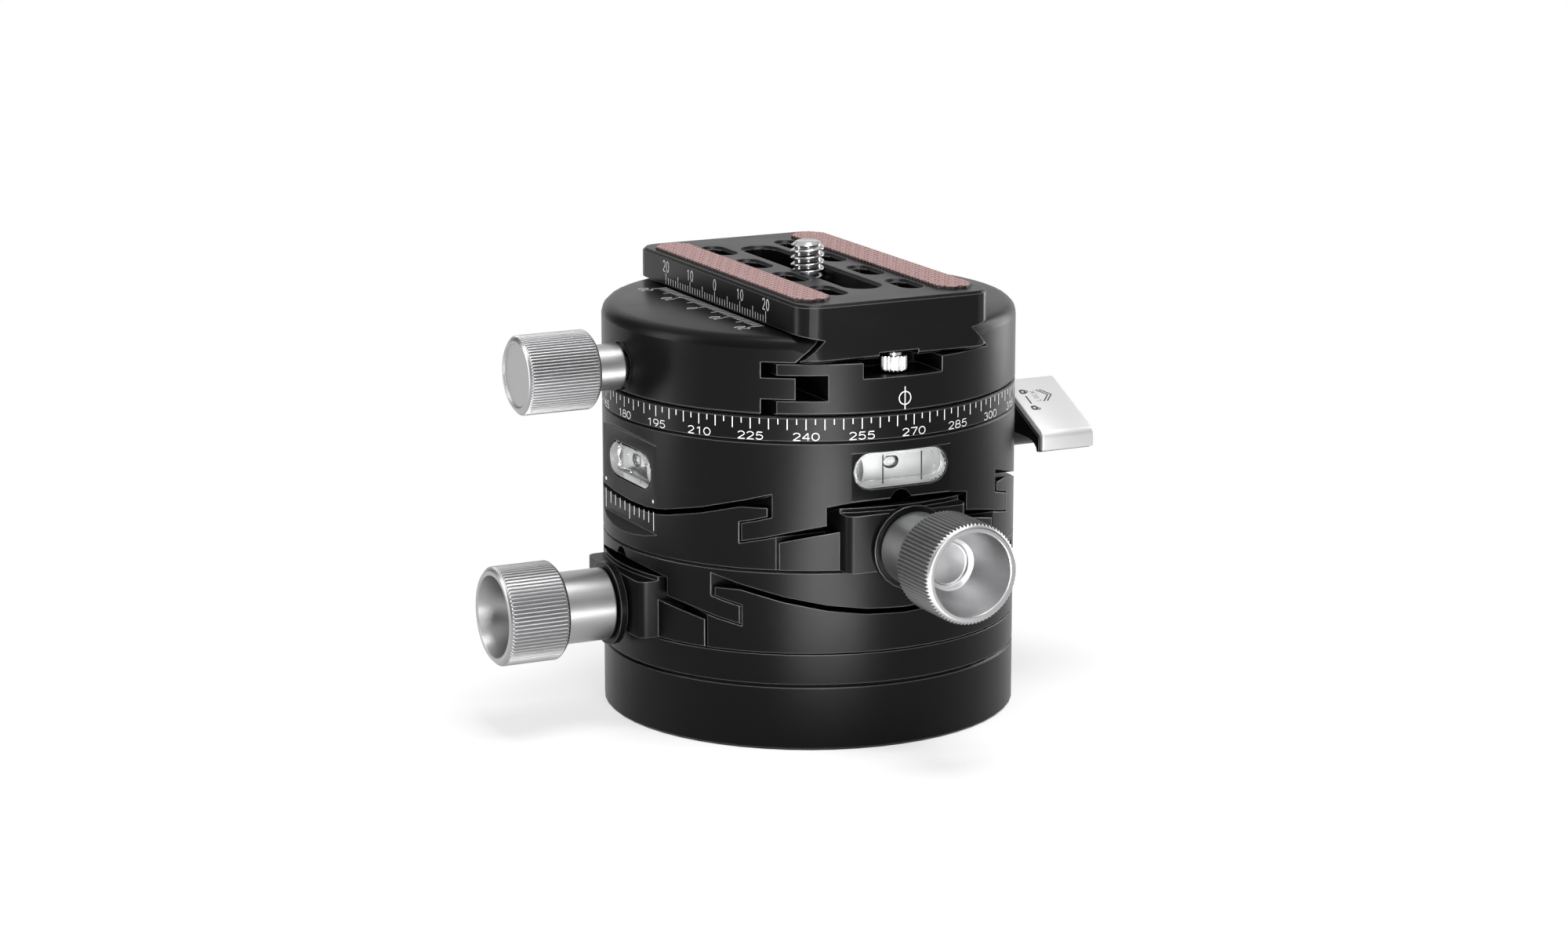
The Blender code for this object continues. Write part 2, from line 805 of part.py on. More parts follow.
def make_worm(prefix):
    """The worm and its shaft, turned in one piece with a single-start thread."""
    thread_half = worm_pitch * worm_turns / 2
    shaft_profile = [
        (0, rear_bearing_end - seat_gap),
        (journal_radius, rear_bearing_end - seat_gap),
        (journal_radius, rear_bearing_start - seat_gap),
        (shaft_radius, rear_bearing_start - seat_gap),
        (shaft_radius, thread_half + worm_pitch),
        (worm_root_radius, thread_half + worm_pitch),
        (worm_root_radius, -thread_half - worm_pitch),
        (shaft_radius, -thread_half - worm_pitch),
        (shaft_radius, -knob_start - knob_shaft_depth),
        (0, -knob_start - knob_shaft_depth),
    ]
    body = turned(prefix + "worm", shaft_profile, shaft_sides, (0, 0, worm_height), "Y")
    tip, root = worm_pitch * worm_tip_share / 2, worm_pitch * worm_root_share / 2
    sunk = worm_root_radius - seat_gap
    mesh = bpy.data.meshes.new(prefix + "thread")
    section = [(sunk, -root), (worm_tip_radius, -tip), (worm_tip_radius, tip), (sunk, root)]
    mesh.from_pydata([(r, 0, z - thread_half) for r, z in section], [(0, 1), (1, 2), (2, 3), (3, 0)], [])
    thread = bpy.data.objects.new(prefix + "thread", mesh)
    model.objects.link(thread)
    screw = thread.modifiers.new("turn", "SCREW")
    screw.steps = worm_steps
    screw.render_steps = worm_steps
    screw.iterations = worm_turns
    screw.screw_offset = worm_pitch
    screw.use_merge_vertices = False
    thread = evaluated(thread)
    shape = bmesh.new()
    shape.from_mesh(thread.data)
    bmesh.ops.holes_fill(shape, edges=shape.edges[:])
    bpy.data.objects.remove(thread, do_unlink=True)
    thread = from_bmesh(prefix + "thread", shape)
    moved(thread, (0, 0, worm_height), "Y", worm_phase)
    joined(body, thread)
    return body


worm_phase = math.radians(-90)


def ribbed(name, ribs, tip_radius, depth, length, place, axis):
    """A straight knurl: a star-shaped bar, overlong at both ends."""
    outline = []
    for i in range(ribs):
        for k, radius in ((0, tip_radius), (1, tip_radius - depth)):
            a = 2 * math.pi * (i + k / 2 + rib_turn_share) / ribs
            outline.append((radius * math.cos(a), radius * math.sin(a)))
    return moved(prism(name, outline, -overrun, length + overrun), place, axis)


def knurled_head(name, ribs, radius, depth, length, chamfer, place, axis):
    """A ribbed bar with both ends chamfered."""
    body = ribbed(name, ribs, radius, depth, length, place, axis)
    beyond = radius + overrun
    cone = chamfer + overrun
    envelope = [
        (0, length),
        (radius - chamfer, length),
        (beyond, length - cone),
        (beyond, cone),
        (radius - chamfer, 0),
        (0, 0),
    ]
    return common(body, turned(name + "_envelope", envelope, knob_sides, place, axis))


def make_knob(prefix):
    """A worm knob: neck, knurled head and a cup in its end."""
    head = (0, -head_start, worm_height)
    body = knurled_head(
        prefix + "knob", knob_ribs, knob_radius, knob_rib_depth, knob_head_length, knob_chamfer, head, "-Y"
    )
    end = knob_head_length
    floor = end - knob_cup_depth
    cup = [
        (0, end + overrun),
        (knob_cup_radius + (knob_cup_radius - knob_cup_floor_radius) * overrun / knob_cup_depth, end + overrun),
        (knob_cup_floor_radius + knob_cup_step, floor + knob_cup_step),
        (knob_cup_floor_radius, floor + knob_cup_step),
        (knob_cup_floor_radius, floor),
        (0, floor),
    ]
    reach = knob_neck_length + knob_chamfer
    joined(
        body, rod(prefix + "knob_neck", knob_neck_radius, reach, (0, -knob_start, worm_height), "-Y", knob_sides)
    )
    cut(
        body,
        turned(prefix + "knob_cup", cup, knob_sides, head, "-Y"),
        rod(
            prefix + "knob_bore",
            shaft_radius + seat_gap,
            knob_shaft_depth + seat_gap + overrun,
            (0, overrun - knob_start, worm_height),
            "-Y",
            small_sides,
        ),
        rod(
            prefix + "set_screw_bore",
            set_screw_radius + seat_gap,
            knob_radius,
            (0, -set_screw_place, worm_height),
            "Z",
            small_sides,
        ),
    )
    return body


def make_set_screw(prefix):
    """A socket set screw that clamps the knob on the shaft."""
    top = worm_height + knob_neck_radius - set_screw_sink
    body = rod(
        prefix + "knob_set_screw",
        set_screw_radius,
        set_screw_length,
        (0, -set_screw_place, top - set_screw_length),
        "Z",
        small_sides,
    )
    cut(
        body,
        rod(
            prefix + "hex_socket",
            socket_hex_radius,
            socket_hex_depth + overrun,
            (0, -set_screw_place, top - socket_hex_depth),
            "Z",
            6,
        ),
    )
    return body


def make_bearing_cap(prefix):
    """The flanged bearing in the block's face, that carries the worm's shaft."""
    bore = shaft_radius + seat_gap
    profile = [
        (bore, -cap_sleeve_length),
        (bore, cap_height),
        (cap_radius, cap_height),
        (cap_radius, 0),
        (cap_sleeve_radius, 0),
        (cap_sleeve_radius, -cap_sleeve_length),
    ]
    place = (0, -block_front - seat_gap, worm_height)
    return turned(prefix + "bearing_cap", profile, knob_sides, place, "-Y", closed=True)


def stage_frame(level, turn):
    """The world matrix of a stage."""
    return Matrix.Translation((0, 0, level)) @ Matrix.Rotation(turn, 4, "Z")


def make_stage(prefix, height, frame, carrier_pivot):
    """All the pieces of one stage. Returns its tilt body, still to be finished, and that body's pivot."""
    worm_pivot = make_pivot(prefix + "worm_pivot", frame @ Matrix.Translation((0, 0, worm_height)), carrier_pivot)
    tilt_pivot = make_pivot(
        prefix + "tilt_pivot", frame @ Matrix.Translation((0, 0, tilt_axis_height)), carrier_pivot
    )
    done(make_rail_base(prefix), black, carrier_pivot, frame)
    done(screws(prefix + "rail_screw", rail_screw_kind()), dark_steel, carrier_pivot, frame)
    done(make_carrier(prefix), black, carrier_pivot, frame)
    done(screws(prefix + "carrier_screw", carrier_screw_kind()), dark_steel, carrier_pivot, frame)
    done(make_bearing_cap(prefix), black, carrier_pivot, frame)
    done(make_worm(prefix), steel, worm_pivot, frame)
    done(make_knob(prefix), silver, worm_pivot, frame)
    done(make_set_screw(prefix), dark_steel, worm_pivot, frame)
    done(make_rack(prefix), bronze, tilt_pivot, frame)
    return make_tilt_body(prefix, height), tilt_pivot


def stage_screw_seats(prefix, matrix):
    """The threaded holes that a stage's screws need in the piece below it."""
    rails = screw_holes(prefix + "rail_screw_seats", rail_screw_kind())
    carrier = screw_holes(prefix + "carrier_screw_seats", carrier_screw_kind())
    holes = gathered(prefix + "seats", [rails, carrier])
    holes.data.transform(matrix)
    return holes


def make_foot():
    """The round foot, with the stepped hole of the tripod socket and four screw holes."""
    r = drum_radius
    gap = seat_gap
    profile = [
        (socket_radius + gap, foot_height),
        (r - rim_chamfer, foot_height),
        (r, foot_height - rim_chamfer),
        (r, rim_chamfer),
        (r - rim_chamfer, 0),
        (socket_flange_radius + gap, 0),
        (socket_flange_radius + gap, socket_flange_height + gap),
        (socket_radius + gap, socket_flange_height + gap),
    ]
    body = turned("base_foot", profile, drum_sides, closed=True)
    return cut(body, screw_holes("foot_screw_holes", base_screw_kind()))


def base_screw_kind():
    """Four screws on a circle, with the heads just inside the underside of the foot."""
    circle = base_screw_circle
    places = [(x, y, base_screw_sink) for x, y in ((circle, 0), (0, circle), (-circle, 0), (0, -circle))]
    length = deck_level + base_screw_grip - base_screw_sink
    return Fastener(base_screw_radius, base_screw_head_radius, base_screw_head_height, length, "Z", places)


def make_deck():
    """The ring-shaped deck between the foot and the lower stage."""
    high = deck_level + deck_height
    profile = [
        (foot_lip_radius, high),
        (drum_radius, high),
        (drum_radius, deck_level),
        (foot_lip_radius, deck_level),
    ]
    body = turned("base_deck", profile, drum_sides, closed=True)
    seats = stage_screw_seats("lower_", stage_frame(lower_level, lower_turn))
    return cut(body, screw_holes("deck_screw_holes", base_screw_kind()), seats)


def make_socket():
    """The steel bush with the tripod thread, flanged at the underside of the foot."""
    profile = [
        (socket_thread_radius, 0),
        (socket_flange_radius, 0),
        (socket_flange_radius, socket_flange_height),
        (socket_radius, socket_flange_height),
        (socket_radius, foot_height),
        (socket_thread_radius, foot_height),
    ]
    return turned("tripod_socket", profile, knob_sides, closed=True)


def cut_pan_seat(body):
    """Recess and bore for the pan spindle, the lock's bore, and the vial windows."""
    top = upper_stage_height
    wide = drum_radius + overrun
    profile = [
        (0, top + overrun),
        (pan_recess_radius, top + overrun),
        (pan_recess_radius, top - pan_recess_depth),
        (pan_bore_radius, top - pan_recess_depth),
        (pan_bore_radius, spindle_bottom - seat_gap),
        (0, spindle_bottom - seat_gap),
    ]
    window = oblong(vial_half_length + vial_gap, vial_radius + vial_gap)
    front = prism("front_window", window, -wide, vial_depth + vial_gap - front_flat, "Y")
    front.data.transform(Matrix.Translation((0, 0, front_vial_height)))
    side = prism("side_window", window, -wide, vial_depth + vial_gap - side_flat, "X")
    side.data.transform(Matrix.Translation((0, 0, side_vial_height)))
    seats = screw_holes("ring_screw_seats", ring_screw_kind())
    seats.data.transform(Matrix.Translation((0, 0, -upper_level)))
    return cut(
        body,
        turned("pan_pocket", profile, knob_sides),
        rod("lock_bore", lock_bore_radius, wide, (lock_shaft_inner - seat_gap, 0, lock_height), "X"),
        rod("shoe_bore", lock_shoe_radius + seat_gap, drum_radius, (0, 0, lock_height), "X"),
        box("front_flat", (-drum_radius, -wide, front_flat_low), (drum_radius, -front_flat, front_flat_high)),
        front,
        side,
        seats,
    )


def ring_screw_kind():
    """Three screws on a circle, flush with the scale ring's top."""
    level = ring_level + scale_ring_height - ring_screw_sink
    angles = [math.radians(90 + 120 * i) for i in range(3)]
    places = [(ring_screw_circle * math.cos(a), ring_screw_circle * math.sin(a), level) for a in angles]
    length = scale_ring_height + seat_gap + ring_screw_grip
    return Fastener(ring_screw_radius, ring_screw_head_radius, ring_screw_head_height, length, "-Z", places)


def make_vial(name, axis, place):
    """A spirit vial: a clear block with round ends, flush with its flat."""
    body = prism(name, oblong(vial_half_length, vial_radius), -place, vial_depth - place, axis)
    return body


def make_scale_ring():
    """The fixed ring that carries the pan scale."""
    high = ring_level + scale_ring_height
    profile = [
        (ring_bore_radius, high),
        (drum_radius - drum_chamfer, high),
        (drum_radius, high - drum_chamfer),
        (drum_radius, ring_level),
        (ring_bore_radius, ring_level),
    ]
    body = turned("pan_scale_ring", profile, drum_sides, closed=True)
    return cut(body, screw_holes("ring_screw_holes", ring_screw_kind()))


def pan_floor():
    """The floor of the recess that the spindle's flange turns in."""
    return upper_level + upper_stage_height - pan_recess_depth


def make_washer():
    """The thrust washer under the spindle's flange."""
    low = pan_floor() + seat_gap
    profile = [
        (pan_bore_radius, low + washer_height),
        (flange_radius, low + washer_height),
        (flange_radius, low),
        (pan_bore_radius, low),
    ]
    return turned("pan_thrust_washer", profile, knob_sides, closed=True)


def make_spindle():
    """The pan spindle: flange under the scale ring, boss for the clamp, and a stem that the lock presses."""
    flange_low = pan_floor() + 2 * seat_gap + washer_height
    profile = [
        (0, clamp_level - seat_gap),
        (spindle_boss_radius, clamp_level - seat_gap),
        (spindle_boss_radius, flange_low + flange_height),
        (flange_radius, flange_low + flange_height),
        (flange_radius, flange_low),
        (spindle_radius, flange_low),
        (spindle_radius, upper_level + spindle_bottom),
        (0, upper_level + spindle_bottom),
    ]
    body = turned("pan_spindle", profile, knob_sides)
    return cut(body, screw_holes("spindle_bolt_hole", clamp_bolt_kind()))


def clamp_bolt_kind():
    """The one bolt that holds the clamp on the spindle, its head flush with the clamp's floor."""
    length = clamp_floor_height + clamp_bolt_grip
    places = [(0, 0, floor_level - seat_gap)]
    return Fastener(clamp_bolt_radius, clamp_bolt_head_radius, clamp_bolt_head_height, length, "-Z", places)


def make_lock_shaft():
    """The lock's shaft, that the lever turns."""
    length = lever_inner + lever_width / 2 - lock_shaft_inner
    return rod(
        "pan_lock_shaft", lock_shaft_radius, length, (lock_shaft_inner, 0, upper_level + lock_height), "X", rod_sides
    )


def make_lock_shoe():
    """The bronze shoe that the shaft presses against the spindle's stem."""
    length = lock_shaft_inner - seat_gap - pan_bore_radius
    return rod("pan_lock_shoe", lock_shoe_radius, length, (pan_bore_radius, 0, upper_level + lock_height), "X")


def along_lever(along, out):
    """A point of the lever's side view, measured down its sloped top and out from its shaft."""
    c, s = math.cos(lever_slope), math.sin(lever_slope)
    return (-c * along - s * out, -s * along + c * out)


def make_lever():
    """The black body of the lock lever, and the silver cap over its top and tip."""
    hub = lever_hub_radius
    t = lever_cap_thickness
    tip = lever_tip_radius
    slope = math.degrees(lever_slope)
    wall = t + seat_gap
    inner = hub - wall
    reach = lever_reach
    top_end = (reach - hub * math.sin(lever_slope)) / math.cos(lever_slope)
    tip_z = along_lever(top_end, hub)[1]
    centre = (tip - reach, tip_z - tip)
    inner_reach = reach - wall
    inner_end = (inner_reach - inner * math.sin(lever_slope)) / math.cos(lever_slope)
    under = math.degrees(math.asin(lever_under_depth / hub))
    outline = [along_lever(0, inner), along_lever(-seat_gap, inner), along_lever(-seat_gap, hub - seat_gap / 4)]
    outline += arc_points((0, 0), hub, 85 + slope, -180 + under, 18)
    hook = [math.radians(90 * i / 4) for i in range(5)]
    run, drop = lever_hook_end - lever_hook_start, lever_hook_depth - lever_under_depth
    outline += [
        (-lever_hook_start - run * math.sin(a), -lever_under_depth - drop * (1 - math.cos(a))) for a in hook
    ]
    outline += [(-inner_reach, -lever_hook_depth), along_lever(inner_end, inner)]
    frame = Matrix.Translation((0, 0, upper_level + lock_height))
    body = prism("pan_lock_lever", outline, lever_inner, lever_inner + lever_width, "X")
    body.data.transform(frame)
    cut(
        body,
        rod(
            "lever_bore",
            lock_shaft_radius + seat_gap,
            lever_width / 2 + seat_gap + overrun,
            (lever_inner - overrun, 0, upper_level + lock_height),
            "X",
        ),
    )
    cap = [along_lever(0, hub)]
    cap += arc_points(centre, tip, 90 + slope, 180, 3)
    cap += [(-reach, -lever_end_depth), (t - reach, -lever_end_depth)]
    cap += [along_lever((reach - t - (hub - t) * math.sin(lever_slope)) / math.cos(lever_slope), hub - t)]
    cap += [along_lever(0, hub - t)]
    cap = prism("pan_lock_lever_cap", cap, lever_inner, lever_inner + lever_width, "X")
    cap.data.transform(frame)
    return body, cap


def clamp_blank(name):
    """The clamp's full round form with its rounded upper edge."""
    r = drum_radius
    edge = clamp_edge_radius
    corner = arc_points((r - edge, jaw_top_level - edge), edge, 90, 0, 3)
    foot = [(r, clamp_level + drum_chamfer), (r - drum_chamfer, clamp_level), (0, clamp_level)]
    profile = [(0, jaw_top_level)] + corner + foot
    return turned(name, profile, drum_sides)


def dovetail_gap():
    """How far a jaw's flank stands off the plate's, measured level."""
    return seat_gap * math.sqrt(2)


def jaw_tip():
    """The jaw's tip: where its flank meets the sloped part of its top."""
    foot_x = plate_foot_half_width + dovetail_gap()
    foot_z = plate_bottom + plate_foot_height
    neck_z = foot_z + neck_depth
    neck_x = plate_foot_half_width - neck_depth
    line_z = neck_z - seat_gap
    z = (line_z + under_slope * (foot_x + foot_z - neck_x)) / (1 + under_slope)
    return foot_x + foot_z - z, z


def jaw_outline(side, inner_points):
    """The XZ outline of one jaw, from its tip outwards; side is 1 or -1."""
    tip_x, tip_z = jaw_tip()
    rise = (jaw_top_level - tip_z) / under_slope
    out = drum_radius + overrun
    points = [
        (tip_x, tip_z),
        (tip_x + rise, jaw_top_level),
        (tip_x + rise, jaw_top_level + overrun),
        (out, jaw_top_level + overrun),
        (out, clamp_level - overrun),
    ]
    return [(side * x, z) for x, z in points] + inner_points


def flank_foot(level):
    """Where a jaw's flank reaches a level."""
    return plate_foot_half_width + dovetail_gap() + plate_bottom + plate_foot_height - level


def make_clamp_base():
    """The turning half of the clamp: floor, fixed jaw and the groove for the moving jaw's tongue."""
    body = clamp_blank("clamp_base")
    inner = [
        (-base_wall, clamp_level - overrun),
        (-base_wall, clamp_level + notch_low),
        (-notch_reach, clamp_level + notch_low),
        (-notch_reach, clamp_level + notch_high),
        (-base_wall, clamp_level + notch_high),
        (-base_wall, floor_level),
        (flank_foot(floor_level), floor_level),
    ]
    wide = drum_radius + overrun
    common(body, prism("clamp_base_form", jaw_outline(1, inner), -wide, wide, "Y"))
    recess_profile = rounded(recess_half_width, recess_depth, recess_corner_radius)
    ends = []
    for i, side in enumerate((-1, 1)):
        piece = prism(f"end_recess_{i}", recess_profile, clamp_level + recess_floor, jaw_top_level)
        piece.data.transform(Matrix.Translation((0, side * drum_radius, 0)))
        ends.append(piece)
    cut(body, gathered("end_recesses", ends))
    return cut(
        body,
        screw_holes("clamp_bolt_hole", clamp_bolt_kind()),
        rod(
            "clamp_thread_bore",
            clamp_screw_radius + seat_gap,
            wide - clamp_screw_inner + seat_gap,
            (-wide, 0, clamp_level + clamp_axis_height),
            "X",
            small_sides,
        ),
    )


def make_clamp_jaw():
    """The moving jaw with its tongue."""
    body = clamp_blank("clamp_jaw")
    low = floor_level + seat_gap
    inner = [
        (-jaw_wall, clamp_level - overrun),
        (-jaw_wall, clamp_level + tongue_low),
        (-tongue_reach, clamp_level + tongue_low),
        (-tongue_reach, clamp_level + tongue_high),
        (-jaw_wall, clamp_level + tongue_high),
        (-jaw_wall, low),
        (-flank_foot(low), low),
    ]
    wide = drum_radius + overrun
    common(body, prism("clamp_jaw_form", jaw_outline(-1, inner), -wide, wide, "Y"))
    axis = clamp_level + clamp_axis_height
    start = -spring_start() - spring_length - 2 * spring_wire_radius - seat_gap
    bores = [
        rod(
            f"spring_bore_{y}",
            spring_radius + spring_wire_radius + seat_gap,
            -start,
            (start, y, axis),
            "X",
            small_sides,
        )
        for y in (-spring_y, spring_y)
    ]
    cut(
        body,
        rod("jaw_screw_bore", clamp_screw_radius + seat_gap, wide, (-wide, 0, axis), "X", small_sides),
        rod(
            "jaw_spot_face",
            clamp_knob_neck_radius + seat_gap,
            clamp_knob_spot_depth + overrun,
            (-wide, 0, axis),
            "X",
        ),
        gathered("jaw_spring_bores", bores),
    )
    return body


def spring_start():
    """The springs bear on the end of the groove that the jaw's tongue runs in."""
    return notch_reach + seat_gap + spring_wire_radius


def make_clamp_knob():
    """The clamp's knurled knob with a shallow disc in its end."""
    start = drum_radius - clamp_knob_spot_depth + seat_gap
    neck_end = drum_radius + clamp_knob_neck_length
    end = neck_end + clamp_knob_length
    axis = clamp_level + clamp_axis_height
    body = knurled_head(
        "clamp_knob",
        clamp_knob_ribs,
        clamp_knob_radius,
        clamp_knob_rib_depth,
        clamp_knob_length,
        knob_chamfer,
        (-neck_end, 0, axis),
        "-X",
    )
    joined(
        body,
        rod("clamp_knob_neck", clamp_knob_neck_radius, neck_end + knob_chamfer - start, (-start, 0, axis), "-X"),
    )
    cut(
        body,
        rod(
            "clamp_knob_disc",
            clamp_knob_recess_radius,
            overrun,
            (clamp_knob_recess_depth - end, 0, axis),
            "-X",
            knob_sides,
        ),
        rod(
            "clamp_knob_bore",
            clamp_screw_radius + seat_gap,
            neck_end + clamp_knob_length / 2 - start + overrun,
            (overrun - start, 0, axis),
            "-X",
            small_sides,
        ),
    )
    return body


def make_clamp_screw():
    """The screw that draws the jaw in."""
    axis = clamp_level + clamp_axis_height
    outer = drum_radius + clamp_knob_neck_length + clamp_knob_length / 2 - seat_gap
    return rod("clamp_screw", clamp_screw_radius, outer - clamp_screw_inner, (-outer, 0, axis), "X", small_sides)


def make_spring(name, place_y):
    """One opening spring: a round wire wound along X."""
    axis = clamp_level + clamp_axis_height
    curve = bpy.data.curves.new(name, "CURVE")
    curve.dimensions = "3D"
    curve.bevel_depth = spring_wire_radius
    curve.bevel_resolution = 0
    curve.use_fill_caps = True
    count = spring_turns * spring_turn_sides
    line = curve.splines.new("POLY")
    line.points.add(count)
    for i in range(count + 1):
        a = 2 * math.pi * i / spring_turn_sides
        x = -spring_start() - spring_length * i / count
        y = place_y + spring_radius * math.cos(a)
        line.points[i].co = (x, y, axis + spring_radius * math.sin(a), 1)
    item = bpy.data.objects.new(name, curve)
    model.objects.link(item)
    return evaluated(item)


def make_plate():
    """The camera plate: dovetail flanks, slots, pad recesses and an end-to-end groove underneath."""
    foot_z = plate_bottom + plate_foot_height
    neck_z = foot_z + neck_depth
    neck_x = plate_foot_half_width - neck_depth
    beyond = plate_half_width + overrun
    half = [
        (plate_foot_half_width, plate_bottom - overrun),
        (plate_foot_half_width, foot_z),
        (neck_x, neck_z),
        (beyond, neck_z + under_slope * (beyond - neck_x)),
        (beyond, plate_top + overrun),
    ]
    outline = half + [(-x, z) for x, z in reversed(half)]
    body = prism(
        "camera_plate", rounded(plate_half_width, plate_half_length, plate_corner_radius), plate_bottom, plate_top
    )
    bevel = body.modifiers.new("edges", "BEVEL")
    bevel.limit_method = "ANGLE"
    bevel.width = plate_chamfer
    bevel.segments = 1
    wide = plate_half_length + overrun
    common(body, prism("plate_section", outline, -wide, wide, "Y"))
    low, high = plate_bottom - overrun, plate_top + overrun
    slots = []
    for side in (-1, 1):
        for i in range(4):
            slot = prism(f"slot_{side}_{i}", oblong(slot_half_length, slot_radius, 3), low, high)
            centre = Matrix.Translation((side * slot_row_x, slot_pitch * (i - 3 / 2), 0))
            slot.data.transform(centre @ along_y)
            slots.append(slot)
    long_slot = prism("long_slot", oblong(long_slot_half_length, long_slot_radius), low, high)
    wider = long_slot_half_length + long_slot_bore_radius - long_slot_radius
    counter = prism("long_slot_bore", oblong(wider, long_slot_bore_radius), low, plate_bottom + long_slot_ledge)
    for tool in (long_slot, counter):
        tool.data.transform(along_y)
    gap = seat_gap / 2
    pads = [
        prism(f"pad_seat_{side}", pad_outline(side, gap), plate_top - pad_depth - gap, high) for side in (-1, 1)
    ]
    threads = [
        rod(
            f"stop_thread_{side}",
            stop_screw_thread_radius + seat_gap,
            stop_screw_thread_length + overrun + seat_gap,
            (0, side * stop_screw_place, plate_bottom + plate_groove_depth - overrun),
            "Z",
            small_sides,
        )
        for side in (-1, 1)
    ]
    groove = box(
        "plate_groove",
        (-plate_groove_half_width, -wide, low),
        (plate_groove_half_width, wide, plate_bottom + plate_groove_depth),
    )
    return cut(
        body,
        gathered("plate_slots", slots),
        long_slot,
        counter,
        groove,
        gathered("pad_seats", pads),
        gathered("stop_threads", threads),
    )


along_y = Matrix.Rotation(math.radians(90), 4, "Z")


def pad_outline(side, gap=0.0):
    """A grip pad with cut corners, in the plate's own outline."""
    x, y, c = pad_half_width + gap, pad_half_length + gap, pad_end_cut
    corners = [(x, y - c), (x - c, y), (c - x, y), (-x, y - c), (-x, c - y), (c - x, -y), (x - c, -y), (x, c - y)]
    return [(side * pad_centre + u, v) for u, v in corners]


def make_pad(name, side):
    """One grip pad, let into the plate and standing a little proud."""
    return prism(name, pad_outline(side), plate_top - pad_depth, plate_top + pad_proud)


def make_stop_screws():
    """The two safety stops under the plate's ends: knurled head, collar and thread."""
    items = []
    start = plate_bottom + plate_groove_depth - seat_gap
    low = start - stop_screw_collar_height - stop_screw_head_height
    for i, side in enumerate((-1, 1)):
        profile = [
            (0, start + stop_screw_thread_length),
            (stop_screw_thread_radius, start + stop_screw_thread_length),
            (stop_screw_thread_radius, start),
            (stop_screw_collar_radius, start),
            (stop_screw_collar_radius, low + stop_screw_head_height),
            (stop_screw_head_radius, low + stop_screw_head_height),
            (stop_screw_head_radius, low),
            (0, low),
        ]
        items.append(turned(f"plate_stop_screw_{i + 1}", profile, stud_sides, (0, side * stop_screw_place, 0)))
    return items


def make_camera_screw():
    """The camera screw: slotted head in the plate's counterbore and the stud through the long slot."""
    ledge = plate_bottom + long_slot_ledge
    head_top = ledge - seat_gap
    head_low = head_top - camera_head_height
    profile = [
        (0, plate_top + camera_stud_proud),
        (camera_stud_radius - plate_chamfer, plate_top + camera_stud_proud),
        (camera_stud_radius, plate_top + camera_stud_proud - plate_chamfer),
        (camera_stud_radius, head_top),
        (camera_head_radius, head_top),
        (camera_head_radius, head_low),
        (0, head_low),
    ]
    body = turned("camera_screw", profile, stud_sides, (0, camera_screw_y, 0))
    return cut(
        body,
        box(
            "coin_slot",
            (-camera_head_radius - overrun, camera_screw_y - camera_slot_half_width, head_low - overrun),
            (camera_head_radius + overrun, camera_screw_y + camera_slot_half_width, head_low + camera_slot_depth),
        ),
    )


